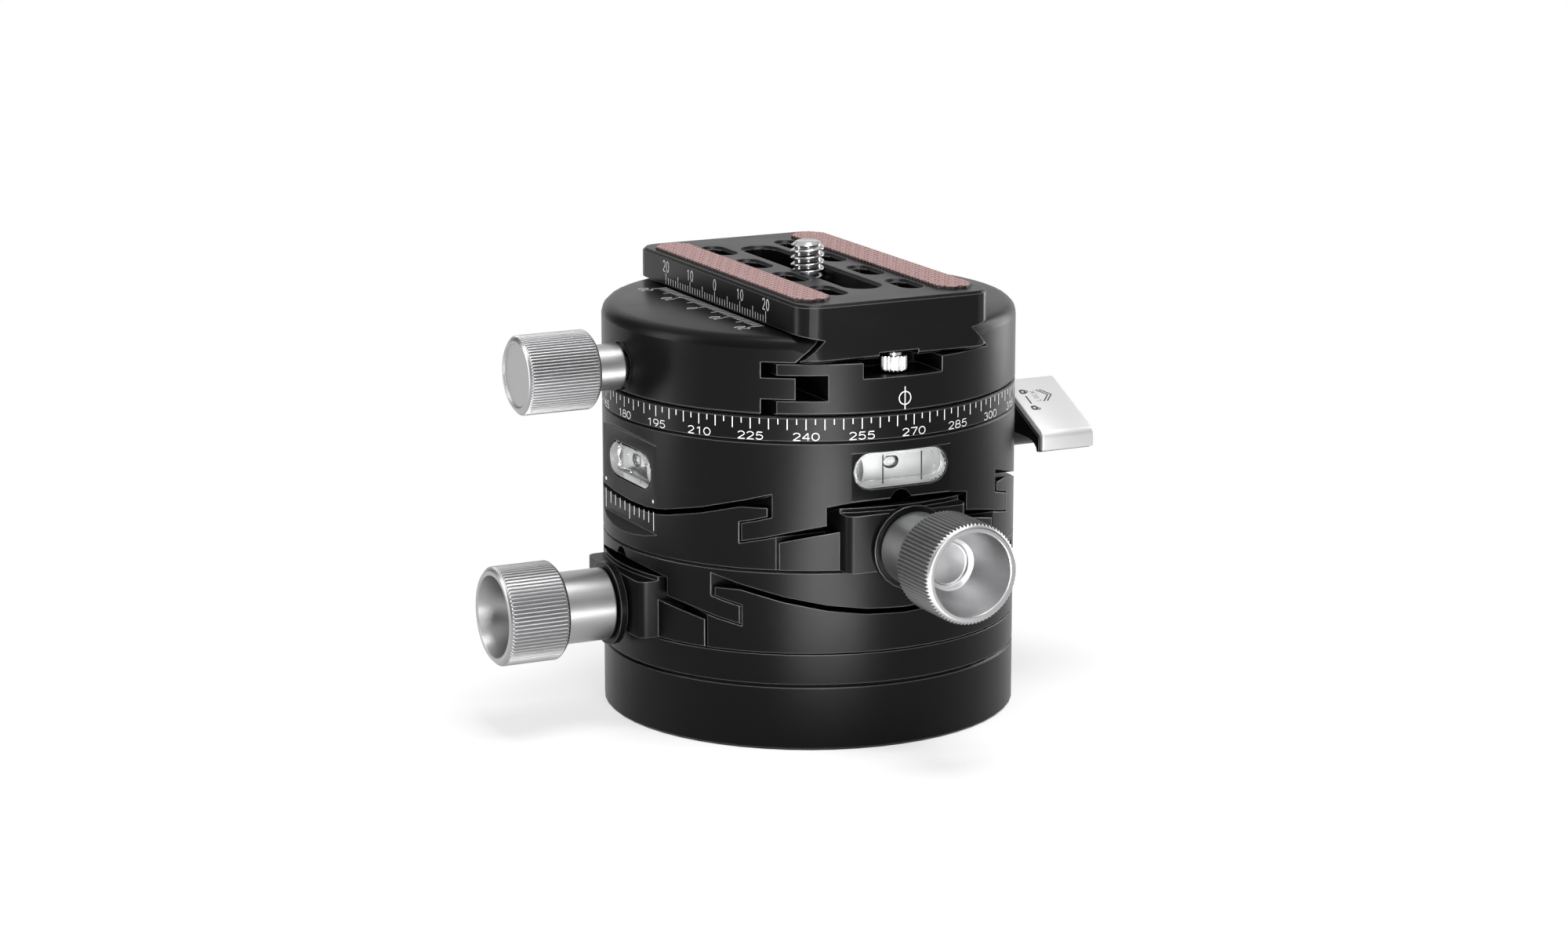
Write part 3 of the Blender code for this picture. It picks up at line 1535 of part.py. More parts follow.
def build():
    """Make every piece and hang it on its body's pivot."""
    start_scene()
    world = Matrix.Identity(4)
    root = make_pivot("base_pivot", world)
    done(make_foot(), black, root, world)
    done(make_deck(), black, root, world)
    done(make_socket(), steel, root, world)
    done(screws("base_screw", base_screw_kind()), dark_steel, root, world)

    lower_frame = stage_frame(lower_level, lower_turn)
    lower_body, lower_pivot = make_stage("lower_", lower_stage_height, lower_frame, root)
    cut(lower_body, stage_screw_seats("upper_", lower_frame.inverted() @ stage_frame(upper_level, 0)))
    done(lower_body, black, lower_pivot, lower_frame)

    upper_frame = stage_frame(upper_level, 0)
    upper_body, upper_pivot = make_stage("upper_", upper_stage_height, upper_frame, lower_pivot)
    done(cut_pan_seat(upper_body), black, upper_pivot, upper_frame)
    vials = [make_vial("front_vial", "Y", front_flat), make_vial("side_vial", "X", side_flat)]
    for vial, height in zip(vials, (front_vial_height, side_vial_height)):
        vial.data.transform(Matrix.Translation((0, 0, upper_level + height)))
    done(vials, acrylic, upper_pivot, world)
    done(make_scale_ring(), black, upper_pivot, world)
    done(screws("scale_ring_screw", ring_screw_kind()), dark_steel, upper_pivot, world)
    done(make_washer(), acetal, upper_pivot, world)
    done(make_lock_shoe(), bronze, upper_pivot, world)

    lever_axis = Matrix.Translation((lever_inner, 0, upper_level + lock_height))
    lever_pivot = make_pivot("pan_lock_pivot", lever_axis, upper_pivot)
    lever, lever_cap = make_lever()
    done(lever, black, lever_pivot, world)
    done(lever_cap, silver, lever_pivot, world)
    done(make_lock_shaft(), steel, lever_pivot, world)

    pan_pivot = make_pivot("pan_pivot", world, upper_pivot)
    done(make_spindle(), steel, pan_pivot, world)
    done(make_clamp_base(), black, pan_pivot, world)
    done(screws("clamp_bolt", clamp_bolt_kind()), dark_steel, pan_pivot, world)
    springs = [make_spring(f"clamp_spring_{i + 1}", y) for i, y in enumerate((-spring_y, spring_y))]
    done(springs, steel, pan_pivot, world)

    jaw_pivot = make_pivot("clamp_jaw_pivot", world, pan_pivot)
    done(make_clamp_jaw(), black, jaw_pivot, world)
    knob_axis = Matrix.Translation((0, 0, clamp_level + clamp_axis_height))
    knob_pivot = make_pivot("clamp_knob_pivot", knob_axis, jaw_pivot)
    done(make_clamp_knob(), silver, knob_pivot, world)
    done(make_clamp_screw(), steel, knob_pivot, world)

    plate_frame = Matrix.Translation((0, plate_offset, 0))
    plate_pivot = make_pivot("plate_pivot", plate_frame, pan_pivot)
    done(make_plate(), black, plate_pivot, plate_frame)
    done(make_pad("left_grip_pad", -1), rubber, plate_pivot, plate_frame)
    done(make_pad("right_grip_pad", 1), rubber, plate_pivot, plate_frame)
    done(make_stop_screws(), steel, plate_pivot, plate_frame)
    stud_axis = plate_frame @ Matrix.Translation((0, camera_screw_y, 0))
    stud_pivot = make_pivot("camera_screw_pivot", stud_axis, plate_pivot)
    done(make_camera_screw(), steel, stud_pivot, plate_frame)


build()
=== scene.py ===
"""Looks of a geared tripod head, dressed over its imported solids.

Everything is in metres, in the solids' own frame: the head stands on z = 0 with its pan axis on Z, the
upper worm's knob points to -Y, and the lower worm's and the clamp's knobs point to -X. New pieces are
surfaces worked out as whole arrays: a profile turned about an axis, an outline carried along a line, or a
height over a grid. Each one rides on the body that carries the solid it stands for.
"""

import json
import math

import bmesh
import bpy
import numpy as np
from mathutils import Matrix, Vector


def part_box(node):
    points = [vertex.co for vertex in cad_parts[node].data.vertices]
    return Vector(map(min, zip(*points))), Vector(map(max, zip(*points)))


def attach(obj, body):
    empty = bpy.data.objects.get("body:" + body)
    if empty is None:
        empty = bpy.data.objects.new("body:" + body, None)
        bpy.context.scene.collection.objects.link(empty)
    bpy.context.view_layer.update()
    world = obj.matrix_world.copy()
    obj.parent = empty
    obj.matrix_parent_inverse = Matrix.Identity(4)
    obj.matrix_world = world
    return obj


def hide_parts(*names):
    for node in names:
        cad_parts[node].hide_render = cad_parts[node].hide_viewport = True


bl_info = {
    "name": "Geared Tripod Head",
    "version": (1, 0, 0),
    "blender": (4, 5, 0),
    "location": "3D View > Sidebar > Geared Head",
    "description": "Dresses a geared tripod head with its knobs, scales, vials, pads and finishes",
    "category": "Add Mesh",
}

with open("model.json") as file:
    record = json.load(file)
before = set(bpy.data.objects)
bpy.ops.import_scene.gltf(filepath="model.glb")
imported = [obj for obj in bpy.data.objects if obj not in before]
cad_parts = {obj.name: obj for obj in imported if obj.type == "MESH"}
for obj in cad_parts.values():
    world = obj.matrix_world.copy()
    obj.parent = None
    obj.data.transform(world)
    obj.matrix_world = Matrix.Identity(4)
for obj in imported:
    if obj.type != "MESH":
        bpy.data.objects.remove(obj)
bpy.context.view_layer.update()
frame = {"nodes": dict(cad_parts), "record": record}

MM = 0.001
UP = (0.0, 0.0, 1.0)
WHITE = (1, 1, 1, 1)
LEVER_SLOPE = math.radians(24.9)
# each worm: its name, where its knob points, its own direction, its height, and its set screw's place
WORMS = (
    ("upper", "-Y", (0.0, 1.0, 0.0), 37.2 * MM, (0, -45.8 * MM, 37.2 * MM)),
    ("lower", "-X", (1.0, 0.0, 0.0), 22.05 * MM, (-45.8 * MM, 0, 22.05 * MM)),
)


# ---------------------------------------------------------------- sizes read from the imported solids


def low(name):
    """A solid's lowest corner."""
    return np.array(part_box(name)[0])


def high(name):
    """A solid's highest corner."""
    return np.array(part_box(name)[1])


drum_radius = float(high("base_foot")[0])
ring_low, ring_high = float(low("pan_scale_ring")[2]), float(high("pan_scale_ring")[2])
plate_low, plate_high = low("camera_plate"), high("camera_plate")
jaw_top = float(high("clamp_jaw")[2])


# ---------------------------------------------------------------- what a user may change


def a_colour(label, about, default):
    """A colour's property."""
    return bpy.props.FloatVectorProperty(
        name=label, description=about, subtype="COLOR", size=3, default=default
    )


def a_length(label, about, millimetres):
    """A length's property, its default given in millimetres."""
    return bpy.props.FloatProperty(
        name=label, description=about, default=millimetres * MM, unit="LENGTH", precision=5
    )


def a_power(label, about, watts):
    """A lamp's property."""
    return bpy.props.FloatProperty(name=label, description=about, default=watts, unit="POWER")


def a_level(label, about, default):
    """A brightness from 0 up."""
    return bpy.props.FloatProperty(name=label, description=about, default=default, min=0.0)


class HeadFinishes(bpy.types.PropertyGroup):
    """Colours of the head's finishes."""

    black: a_colour("Black anodising", "Colour of the machined bodies", (0.0024, 0.0024, 0.0025))
    silver: a_colour("Clear anodising", "Colour of the knobs", (0.36, 0.36, 0.365))
    steel: a_colour("Stainless steel", "Colour of the camera screw, stops and worms", (0.44, 0.44, 0.45))
    bronze: a_colour("Bronze", "Colour of the toothed racks", (0.42, 0.22, 0.085))
    rubber: a_colour("Grip rubber", "Colour of the pads' crests", (0.34, 0.215, 0.21))
    paint: a_colour("Scale paint", "Colour of the engraved marks", (0.68, 0.68, 0.68))


class HeadSizes(bpy.types.PropertyGroup):
    """Sizes of the detail that the solids leave out."""

    knurl_count: bpy.props.IntProperty(
        name="Knurl ribs", description="Ribs round each knob", default=77, min=12
    )
    knurl_depth: a_length("Knurl depth", "Depth between two ribs", 0.4)
    thread_pitch: a_length("Camera thread pitch", "Rise of one turn", 1.27)
    grain_across: a_length("Pad grain across", "Step between rows of pits", 1.03)
    grain_along: a_length("Pad grain along", "Step between pits of a row", 1.25)
    grain_depth: a_length("Pad grain depth", "Depth of the pits", 0.42)
    slot_chamfer: a_length("Slot chamfer", "Chamfer round the plate's slots", 0.5)
    edge_radius: a_length("Broken edge", "Radius of the machined edges", 0.26)
    mark_width: a_length("Mark width", "Width of a scale line", 0.2)
    mark_rise: a_length("Mark thickness", "Thickness of the paint", 0.012)


class HeadStage(bpy.types.PropertyGroup):
    """The plain studio."""

    key: a_power("Key light", "Power of the upright strip", 0.4)
    low_strip: a_power("Low light", "Power of the strip on the floor", 1.9)
    top: a_power("Top light", "Power of the softbox above", 4.4)
    room: a_level("Room light", "Level of the even light", 0.3)
    wall: a_level("Wall shade", "Brightness of the walls", 0.42)
    floor: a_level("Floor shade", "Brightness of the floor", 0.85)


# ---------------------------------------------------------------- surfaces as arrays


def grid_faces(rows, columns, wrap=True):
    """Quads of a rows by columns grid of points; with wrap the last column joins the first."""
    r = np.arange(rows - 1)[:, None]
    c = np.arange(columns if wrap else columns - 1)[None, :]
    a = r * columns + c
    b = r * columns + (c + 1) % columns
    return np.stack([a, b, b + columns, a + columns], -1).reshape(-1, 4)


def lathe(profile, sides, cap=None):
    """A profile of (along, radius) rows turned about Z: x = r cos t, y = r sin t, z = along.

    cap is an array of limits, one for each angle: the radius is the smaller of the profile's and the limit's
    on the rows whose third column is 1, which cuts flutes and knurls."""
    profile = np.asarray(profile, float)
    t = 2 * np.pi * np.arange(sides) / sides
    radius = np.repeat(profile[:, 1:2], sides, 1)
    if cap is not None:
        radius = np.where(profile[:, 2:3] > 0.5, np.minimum(radius, cap[None, :]), radius)
    along = np.repeat(profile[:, 0:1], sides, 1)
    points = np.stack([radius * np.cos(t)[None], radius * np.sin(t)[None], along], -1)
    return points.reshape(-1, 3), grid_faces(len(profile), sides)


def eased(points, radius, steps=5, closed=False):
    """A polyline with its corners rounded: each corner becomes a circle's arc between its tangent points.

    points is an (n, 2) array, radius a length for each point; the ends of an open line stay sharp."""
    points = np.asarray(points, float)
    n = len(points)
    out = []
    for i in range(n):
        if not closed and i in (0, n - 1) or radius[i] <= 0:
            out.append(points[i : i + 1])
            continue
        before, after = points[i - 1] - points[i], points[(i + 1) % n] - points[i]
        la, lb = np.linalg.norm(before), np.linalg.norm(after)
        before, after = before / la, after / lb
        half = np.arccos(np.clip(before @ after, -1, 1)) / 2
        if half > np.pi / 2 - 0.01:
            out.append(points[i : i + 1])
            continue
        reach = min(radius[i] / np.tan(half), 0.45 * la, 0.45 * lb)
        r = reach * np.tan(half)
        bisector = (before + after) / np.linalg.norm(before + after)
        centre = points[i] + bisector * r / np.sin(half)
        start, end = points[i] + before * reach - centre, points[i] + after * reach - centre
        sweep = np.pi - 2 * half
        k = np.linspace(0, 1, steps + 1)[:, None]
        arc = (np.sin((1 - k) * sweep) * start + np.sin(k * sweep) * end) / np.sin(sweep)
        out.append(centre + arc)
    return np.concatenate(out)


def held(profile, gap=0.06 * MM):
    """Extra rows near both ends of every long run, so that smooth shading stays flat between corners."""
    profile = np.asarray(profile, float)
    step = np.diff(profile, axis=0)
    length = np.linalg.norm(step[:, :2], axis=1)
    k = np.where(length > 4 * gap, gap / np.maximum(length, 1e-12), 0.0)[:, None]
    rows = np.stack([profile[:-1], profile[:-1] + step * k, profile[1:] - step * k], 1)
    rows = np.concatenate([rows.reshape(-1, profile.shape[1]), profile[-1:]])
    keep = np.concatenate([[True], np.linalg.norm(np.diff(rows[:, :2], axis=0), axis=1) > 1e-9])
    return rows[keep]


def divided(profile, start, end, step):
    """A profile with more rows where its along value lies between start and end."""
    out = [profile[:1]]
    for a, b in zip(profile[:-1], profile[1:]):
        lo, hi = min(a[0], b[0]), max(a[0], b[0])
        count = int(math.ceil((hi - lo) / step)) if lo >= start - 1e-9 and hi <= end + 1e-9 else 1
        k = np.linspace(0, 1, max(count, 1) + 1)[1:, None]
        out.append(a + (b - a) * k)
    return np.concatenate(out)


def extruded(outline, stations):
    """An outline of (x, y) carried straight up Z through the stations of (z, inset), with flat ends.

    At each station the outline is offset inwards by the inset, along the mean of its two edges' normals."""
    outline = np.asarray(outline, float)
    count = len(outline)
    edge = np.roll(outline, -1, 0) - outline
    edge /= np.linalg.norm(edge, axis=1)[:, None]
    normal = np.stack([edge[:, 1], -edge[:, 0]], 1)
    mean = normal + np.roll(normal, 1, 0)
    mean /= np.maximum((mean * normal).sum(1), 1e-6)[:, None]
    x, y = outline.T
    sign = 1.0 if np.sum(x * np.roll(y, -1) - np.roll(x, -1) * y) > 0 else -1.0
    rings = [np.column_stack([outline - sign * mean * inset, np.full(count, z)]) for z, inset in stations]
    last = (len(stations) - 1) * count + np.arange(count)
    ends = [np.arange(count)[::-1].tolist(), last.tolist()]
    return np.concatenate(rings), grid_faces(len(stations), count).tolist() + ends


def oblong(half_length, radius, steps=20):
    """A slot's outline along X: two half circles of a radius, half_length from the middle to each end."""
    t = np.linspace(-np.pi / 2, np.pi / 2, steps)
    right = np.stack([half_length - radius + radius * np.cos(t), radius * np.sin(t)], 1)
    return np.concatenate([right, -right])


def joined(*shapes):
    """Several shapes as one set of points and faces."""
    points, faces, start = [], [], 0
    for p, f in shapes:
        f = f.tolist() if isinstance(f, np.ndarray) else f
        points.append(p)
        faces += [[i + start for i in face] for face in f]
        start += len(p)
    return np.concatenate(points), faces


def bars(starts, stops, width, up, rise, lift=0.0):
    """Flat bars: each runs from a start to a stop, width across, rise to both sides along up, and lifted.

    starts, stops and up are (n, 3) arrays or one row for all; eight corners a bar, all as arrays."""
    starts, stops = np.atleast_2d(starts).astype(float), np.atleast_2d(stops).astype(float)
    n = len(starts)
    up = np.broadcast_to(np.asarray(up, float), (n, 3))
    run = stops - starts
    run /= np.linalg.norm(run, axis=1)[:, None]
    side = np.cross(up, run) * (np.broadcast_to(width, n)[:, None] / 2)
    ring = np.stack([starts - side, stops - side, stops + side, starts + side], 1) + (up * lift)[:, None]
    corners = np.concatenate([ring - up[:, None] * rise, ring + up[:, None] * rise], 1)
    quads = np.array([[3, 2, 1, 0], [4, 5, 6, 7], [1, 5, 4, 0], [2, 6, 5, 1], [3, 7, 6, 2], [0, 4, 7, 3]])
    return corners.reshape(-1, 3), (quads[None] + 8 * np.arange(n)[:, None, None]).reshape(-1, 4)


def placed(shape, matrix):
    """A shape moved by a matrix."""
    points, faces = shape
    m = np.array(matrix, float)
    return points @ m[:3, :3].T + m[:3, 3], faces


def toward(axis, at):
    """The matrix that turns +Z to an axis and moves the origin to a place."""
    quarter, about = {"X": (1, "Y"), "-X": (-1, "Y"), "-Y": (1, "X")}[axis]
    return Matrix.Translation(Vector(at)) @ Matrix.Rotation(quarter * math.pi / 2, 4, about)


# ---------------------------------------------------------------- signs


def bow(x, y, wide, tall, start, stop, steps=14):
    """Points of an ellipse's arc: centre plus (wide cos t, tall sin t), t from start to stop in degrees."""
    t = np.radians(np.linspace(start, stop, steps + 1))
    return np.stack([x + wide * np.cos(t), y + tall * np.sin(t)], 1)


# the lines of each sign on a square of side 1, as a single-line engraver cuts them
SIGNS = {
    "0": [bow(0.5, 0.5, 0.5, 0.5, 90, 450, 22)],
    "1": [[(0.22, 0.78), (0.62, 1.0), (0.62, 0.0)]],
    "2": [np.concatenate([bow(0.5, 0.7, 0.46, 0.3, 165, -25), [(0.02, 0.0), (1.0, 0.0)]])],
    "3": [bow(0.48, 0.76, 0.42, 0.24, 150, -80), bow(0.48, 0.27, 0.5, 0.27, 80, -150)],
    "4": [[(0.76, 0.0), (0.76, 1.0), (0.0, 0.28), (1.0, 0.28)]],
    "5": [np.concatenate([[(0.92, 1.0), (0.2, 1.0), (0.1, 0.5)], bow(0.46, 0.32, 0.5, 0.32, 125, -150)])],
    "6": [bow(0.5, 0.32, 0.5, 0.32, 0, 360, 20), bow(1.0, 0.32, 1.0, 0.7, 180, 112, 8)],
    "7": [[(0.0, 1.0), (1.0, 1.0), (0.36, 0.0)]],
    "8": [bow(0.5, 0.75, 0.4, 0.25, 0, 360, 18), bow(0.5, 0.26, 0.5, 0.26, 0, 360, 20)],
    "9": [bow(0.5, 0.68, 0.5, 0.32, 0, 360, 20), bow(0.0, 0.68, 1.0, 0.7, 0, -68, 8)],
    "L": [[(0.0, 1.0), (0.0, 0.0), (0.9, 0.0)]],
    "O": [bow(0.5, 0.5, 0.5, 0.5, 90, 450, 22)],
    "C": [bow(0.5, 0.5, 0.5, 0.5, 50, 310, 16)],
    "K": [[(0.0, 1.0), (0.0, 0.0)], [(0.9, 1.0), (0.0, 0.38)], [(0.32, 0.6), (0.95, 0.0)]],
}


def written(text, height, wide):
    """A word's strokes about the origin: (n, 2) starts and stops; wide is a sign's width over its height."""
    starts, stops = [], []
    space = 0.3
    advance = wide + space
    left = -(advance * len(text) - space) / 2
    for i, sign in enumerate(text):
        for line in SIGNS[sign]:
            p = np.asarray(line, float) * [wide, 1.0] + [left + i * advance, -0.5]
            starts.append(p[:-1])
            stops.append(p[1:])
    return np.concatenate(starts) * height, np.concatenate(stops) * height


def strokes_on(word, origin, across, up, width, rise):
    """Strokes laid as thin bars on the plane of two directions through the origin."""
    across, up = np.asarray(across, float), np.asarray(up, float)
    starts, stops = (np.asarray(origin, float) + p[:, :1] * across + p[:, 1:] * up for p in word)
    return bars(starts, stops, width, np.cross(across, up), rise, rise * 0.5)


def strokes_round(word, angle, level, width, rise):
    """Strokes laid on the drum: x is carried round as an angle of x / radius, y is a height."""
    ends_of = []
    for p in word:
        t = angle + p[:, 0] / drum_radius
        ends_of.append(np.stack([drum_radius * np.cos(t), drum_radius * np.sin(t), level + p[:, 1]], 1))
    middle = (ends_of[0] + ends_of[1]) * [0.5, 0.5, 0.0]
    out = middle / np.linalg.norm(middle, axis=1)[:, None]
    return bars(ends_of[0], ends_of[1], width, out, rise, rise * 0.5)


# ---------------------------------------------------------------- making pieces


def merged(mesh, near=0.0006 * MM, least=None):
    """Welds points nearer than near, drops edges shorter than least, and points the faces out."""
    shell = bmesh.new()
    shell.from_mesh(mesh)
    bmesh.ops.remove_doubles(shell, verts=shell.verts, dist=near)
    if least:
        bmesh.ops.dissolve_degenerate(shell, edges=shell.edges, dist=least)
    bmesh.ops.recalc_face_normals(shell, faces=shell.faces)
    shell.to_mesh(mesh)
    shell.free()
    return mesh


def finish_piece(name, shape, material, body, slot, replaces=(), sharp=40.0, marks=False):
    """Turns arrays into a piece and hangs it on its body.

    Marks are many small closed bars that already face out, so they are left as they are."""
    points, faces = shape
    faces = faces.tolist() if isinstance(faces, np.ndarray) else faces
    mesh = bpy.data.meshes.new(name)
    mesh.from_pydata(points.tolist(), [], faces)
    if not marks:
        merged(mesh, 0.0008 * MM, 0.0004 * MM)
    mesh.shade_smooth()
    mesh.set_sharp_from_angle(angle=math.radians(sharp))
    mesh.materials.append(material)
    item = bpy.data.objects.new(name, mesh)
    bpy.context.scene.collection.objects.link(item)
    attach(item, body)
    if replaces:
        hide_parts(*replaces)
    return item


def carved(name, tool_shape):
    """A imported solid's points and faces after a tool is cut out of it."""
    mesh = bpy.data.meshes.new("tool")
    mesh.from_pydata(tool_shape[0].tolist(), [], tool_shape[1])
    tool = bpy.data.objects.new("tool", merged(mesh))
    solid = frame["nodes"][name].data.copy()
    solid.materials.clear()
    copy = bpy.data.objects.new("copy", merged(solid))
    for item in (tool, copy):
        bpy.context.scene.collection.objects.link(item)
    cut = copy.modifiers.new("cut", "BOOLEAN")
    cut.operation = "DIFFERENCE"
    cut.solver = "EXACT"
    cut.object = tool
    bpy.context.view_layer.update()
    result = copy.evaluated_get(bpy.context.evaluated_depsgraph_get()).to_mesh()
    points = np.array([vert.co[:] for vert in result.vertices])
    faces = [list(face.vertices) for face in result.polygons]
    for item in (tool, copy):
        bpy.data.objects.remove(item)
    return points, faces


# ---------------------------------------------------------------- shader helpers


def plug(tree, made, links):
    """Gives a node's inputs, by name or number, a socket or a value each."""
    for key, value in links.items():
        if isinstance(value, bpy.types.NodeSocket):
            tree.links.new(value, made.inputs[key])
        else:
            made.inputs[key].default_value = value
    return made


def node(tree, kind, links=None, **settings):
    """One shader node of a kind, with its settings and inputs."""
    made = tree.nodes.new("ShaderNode" + kind)
    for key, value in settings.items():
        setattr(made, key, value)
    return plug(tree, made, links or {})


def maths(tree, operation, *values):
    """A number worked out from numbers."""
    return node(tree, "Math", dict(enumerate(values)), operation=operation).outputs[0]


def vectors(tree, operation, *values):
    """What one operation makes of vectors: a vector, or the number of a length or a dot product."""
    made = node(tree, "VectorMath", dict(enumerate(values)), operation=operation)
    return made.outputs["Value" if operation in ("LENGTH", "DOT_PRODUCT") else "Vector"]


def ranged(tree, value, from_min, from_max, to_min=0.0, to_max=1.0, **settings):
    """A value carried from one range to another."""
    limits = {"From Min": from_min, "From Max": from_max, "To Min": to_min, "To Max": to_max}
    return node(tree, "MapRange", {"Value": value, **limits}, **settings).outputs[0]


def noise(tree, place, scale, detail, roughness=0.5):
    """Noise that changes over a place."""
    links = {"Vector": place, "Scale": scale, "Detail": detail, "Roughness": roughness}
    return node(tree, "TexNoise", links).outputs[0]


def bumped(tree, height, strength, distance, **normal):
    """A normal that leans with a height; it starts from the face's own, or from the socket under Normal."""
    return node(
        tree, "Bump", {"Height": height, "Strength": strength, "Distance": distance, **normal}
    ).outputs[0]


def here(tree):
    """The point in the piece's own coordinates."""
    return node(tree, "TexCoord").outputs["Object"]


def blended(tree, factor, first, second):
    """Two shaders, the second in the factor's share."""
    return node(tree, "MixShader", {0: factor, 1: first, 2: second}).outputs[0]


def group_tree(name, inputs, outputs):
    """An empty node group, with (label, kind, default) in and (label, kind) out.

    Returns the tree, the sockets that it is given, and its output node."""
    tree = bpy.data.node_groups.new(name, "ShaderNodeTree")
    for label, kind, value in inputs:
        socket = tree.interface.new_socket(label, in_out="INPUT", socket_type="NodeSocket" + kind)
        if value is not None:
            socket.default_value = value
    for label, kind in outputs:
        tree.interface.new_socket(label, in_out="OUTPUT", socket_type="NodeSocket" + kind)
    return tree, tree.nodes.new("NodeGroupInput").outputs, tree.nodes.new("NodeGroupOutput")


def turned_wall_group():
    """The true round of a turned wall about Z.

    Where a face looks away from the axis and lies at the radius, its normal becomes the radial direction."""
    tree, given, put = group_tree("turned_wall", [("Radius", "Float", drum_radius)], [("Normal", "Vector")])
    xyz = node(tree, "SeparateXYZ", {0: here(tree)}).outputs
    flat = node(tree, "CombineXYZ", {0: xyz[0], 1: xyz[1]}).outputs[0]
    spaces = {"vector_type": "NORMAL", "convert_from": "OBJECT", "convert_to": "WORLD"}
    radial = node(tree, "VectorTransform", {0: vectors(tree, "NORMALIZE", flat)}, **spaces).outputs[0]
    face = node(tree, "NewGeometry").outputs["Normal"]
    # the wall's facets look within 9 degrees of radial, and lie at most 0.12 mm inside its radius
    close = maths(tree, "GREATER_THAN", vectors(tree, "DOT_PRODUCT", radial, face), 0.988)
    least = maths(tree, "SUBTRACT", given["Radius"], 0.12 * MM)
    outer = maths(tree, "GREATER_THAN", vectors(tree, "LENGTH", flat), least)
    both = maths(tree, "MULTIPLY", close, outer)
    mixed = node(tree, "Mix", {"Factor": both, 4: face, 5: radial}, data_type="VECTOR")
    plug(tree, put, {"Normal": mixed.outputs[1]})
    return tree


def broken_edge_group():
    """Rounded edges, and their rim as a mask for wear and painted highlight: the normal averaged within a
    radius, and how far it leans.
    """
    tree, given, put = group_tree(
        "broken_edge",
        [("Radius", "Float", 0.16 * MM), ("Normal", "Vector", None)],
        [("Normal", "Vector"), ("Edge", "Float")],
    )
    links = {"Radius": given["Radius"], "Normal": given["Normal"]}
    rounded = node(tree, "Bevel", links, samples=4).outputs[0]
    lean = vectors(tree, "DOT_PRODUCT", rounded, given["Normal"])
    plug(tree, put, {"Normal": rounded, "Edge": ranged(tree, lean, 0.99, 0.84)})
    return tree


def fine_grain_group():
    """Bead-blasted grain: fine noise as a height, and slow noise that shifts shade and gloss."""
    tree, given, put = group_tree(
        "fine_grain", [("Size", "Float", 0.09 * MM)], [("Height", "Float"), ("Drift", "Float")]
    )
    place = here(tree)
    per_metre = maths(tree, "DIVIDE", 1.0, given["Size"])
    height, drift = noise(tree, place, per_metre, 2.0, 0.6), noise(tree, place, 90.0, 3.0, 0.55)
    plug(tree, put, {"Height": height, "Drift": drift})
    return tree


def lathe_marks_group():
    """Marks of the turning tool: noise that runs round an axis, so it changes with radius and along only."""
    tree, given, put = group_tree(
        "lathe_marks",
        [("Centre", "Vector", (0.0, 0.0, 0.0)), ("Axis", "Vector", UP), ("Pitch", "Float", 0.07 * MM)],
        [("Height", "Float"), ("Along", "Float"), ("Radius", "Float")],
    )
    arm = vectors(tree, "SUBTRACT", here(tree), given["Centre"])
    along = vectors(tree, "DOT_PRODUCT", arm, given["Axis"])
    radius = vectors(tree, "LENGTH", vectors(tree, "CROSS_PRODUCT", arm, given["Axis"]))
    pair = node(tree, "CombineXYZ", {0: along, 1: radius}).outputs[0]
    marks = noise(tree, pair, maths(tree, "DIVIDE", 1.0, given["Pitch"]), 1.5)
    plug(tree, put, {"Height": marks, "Along": along, "Radius": radius})
    return tree


def knurl_valleys_group():
    """How deep a point lies between two ribs: 1 in valleys, 0 on the crests and off the knurled length.

    It masks the painted shade of the knurls' valleys.
    """
    tree, given, put = group_tree(
        "knurl_valleys",
        [
            ("Along", "Float", 0.0),
            ("Radius", "Float", 0.0),
            ("Start", "Float", 0.0),
            ("End", "Float", 1.0),
            ("Crest", "Float", 9.0 * MM),
            ("Depth", "Float", 0.4 * MM),
        ],
        [("Valley", "Float")],
    )
    size = maths(tree, "ABSOLUTE", given["Along"])
    after = maths(tree, "GREATER_THAN", size, given["Start"])
    inside = maths(tree, "MULTIPLY", after, maths(tree, "LESS_THAN", size, given["End"]))
    sunk = maths(tree, "SUBTRACT", given["Crest"], given["Radius"])
    share = maths(tree, "DIVIDE", sunk, given["Depth"])
    there = maths(tree, "MULTIPLY", inside, maths(tree, "LESS_THAN", share, 1.5))
    plug(tree, put, {"Valley": maths(tree, "MULTIPLY", ranged(tree, share, 0.3, 0.85), there)})
    return tree


_groups = {}


def use_group(tree, maker, links=None):
    """A group node in a tree; the group itself is built once."""
    if maker not in _groups:
        _groups[maker] = maker()
    made = node(tree, "Group")
    made.node_tree = _groups[maker]
    return plug(tree, made, links or {})


def new_material(name):
    """An empty material. Returns it, its tree and its output node."""
    material = bpy.data.materials.new(name)
    material.use_nodes = True
    tree = material.node_tree
    tree.nodes.clear()
    return material, tree, node(tree, "OutputMaterial")


def principled(made, values):
    """Ends a new material with the Principled shader of these values."""
    material, tree, out = made
    plug(tree, out, {"Surface": node(tree, "BsdfPrincipled", values).outputs[0]})
    return material


def drifted(tree, drift, centre, spread):
    """A value that wanders by spread about its centre."""
    return ranged(tree, drift, 0.25, 0.75, centre - spread, centre + spread)


def tinted(tree, first, second, factor):
    """A colour, or a socket that gives one, which turns to a second colour by a factor."""
    first = first if isinstance(first, bpy.types.NodeSocket) else (*first, 1.0)
    return node(tree, "Mix", {"Factor": factor, 6: first, 7: (*second, 1.0)}, data_type="RGBA").outputs[2]
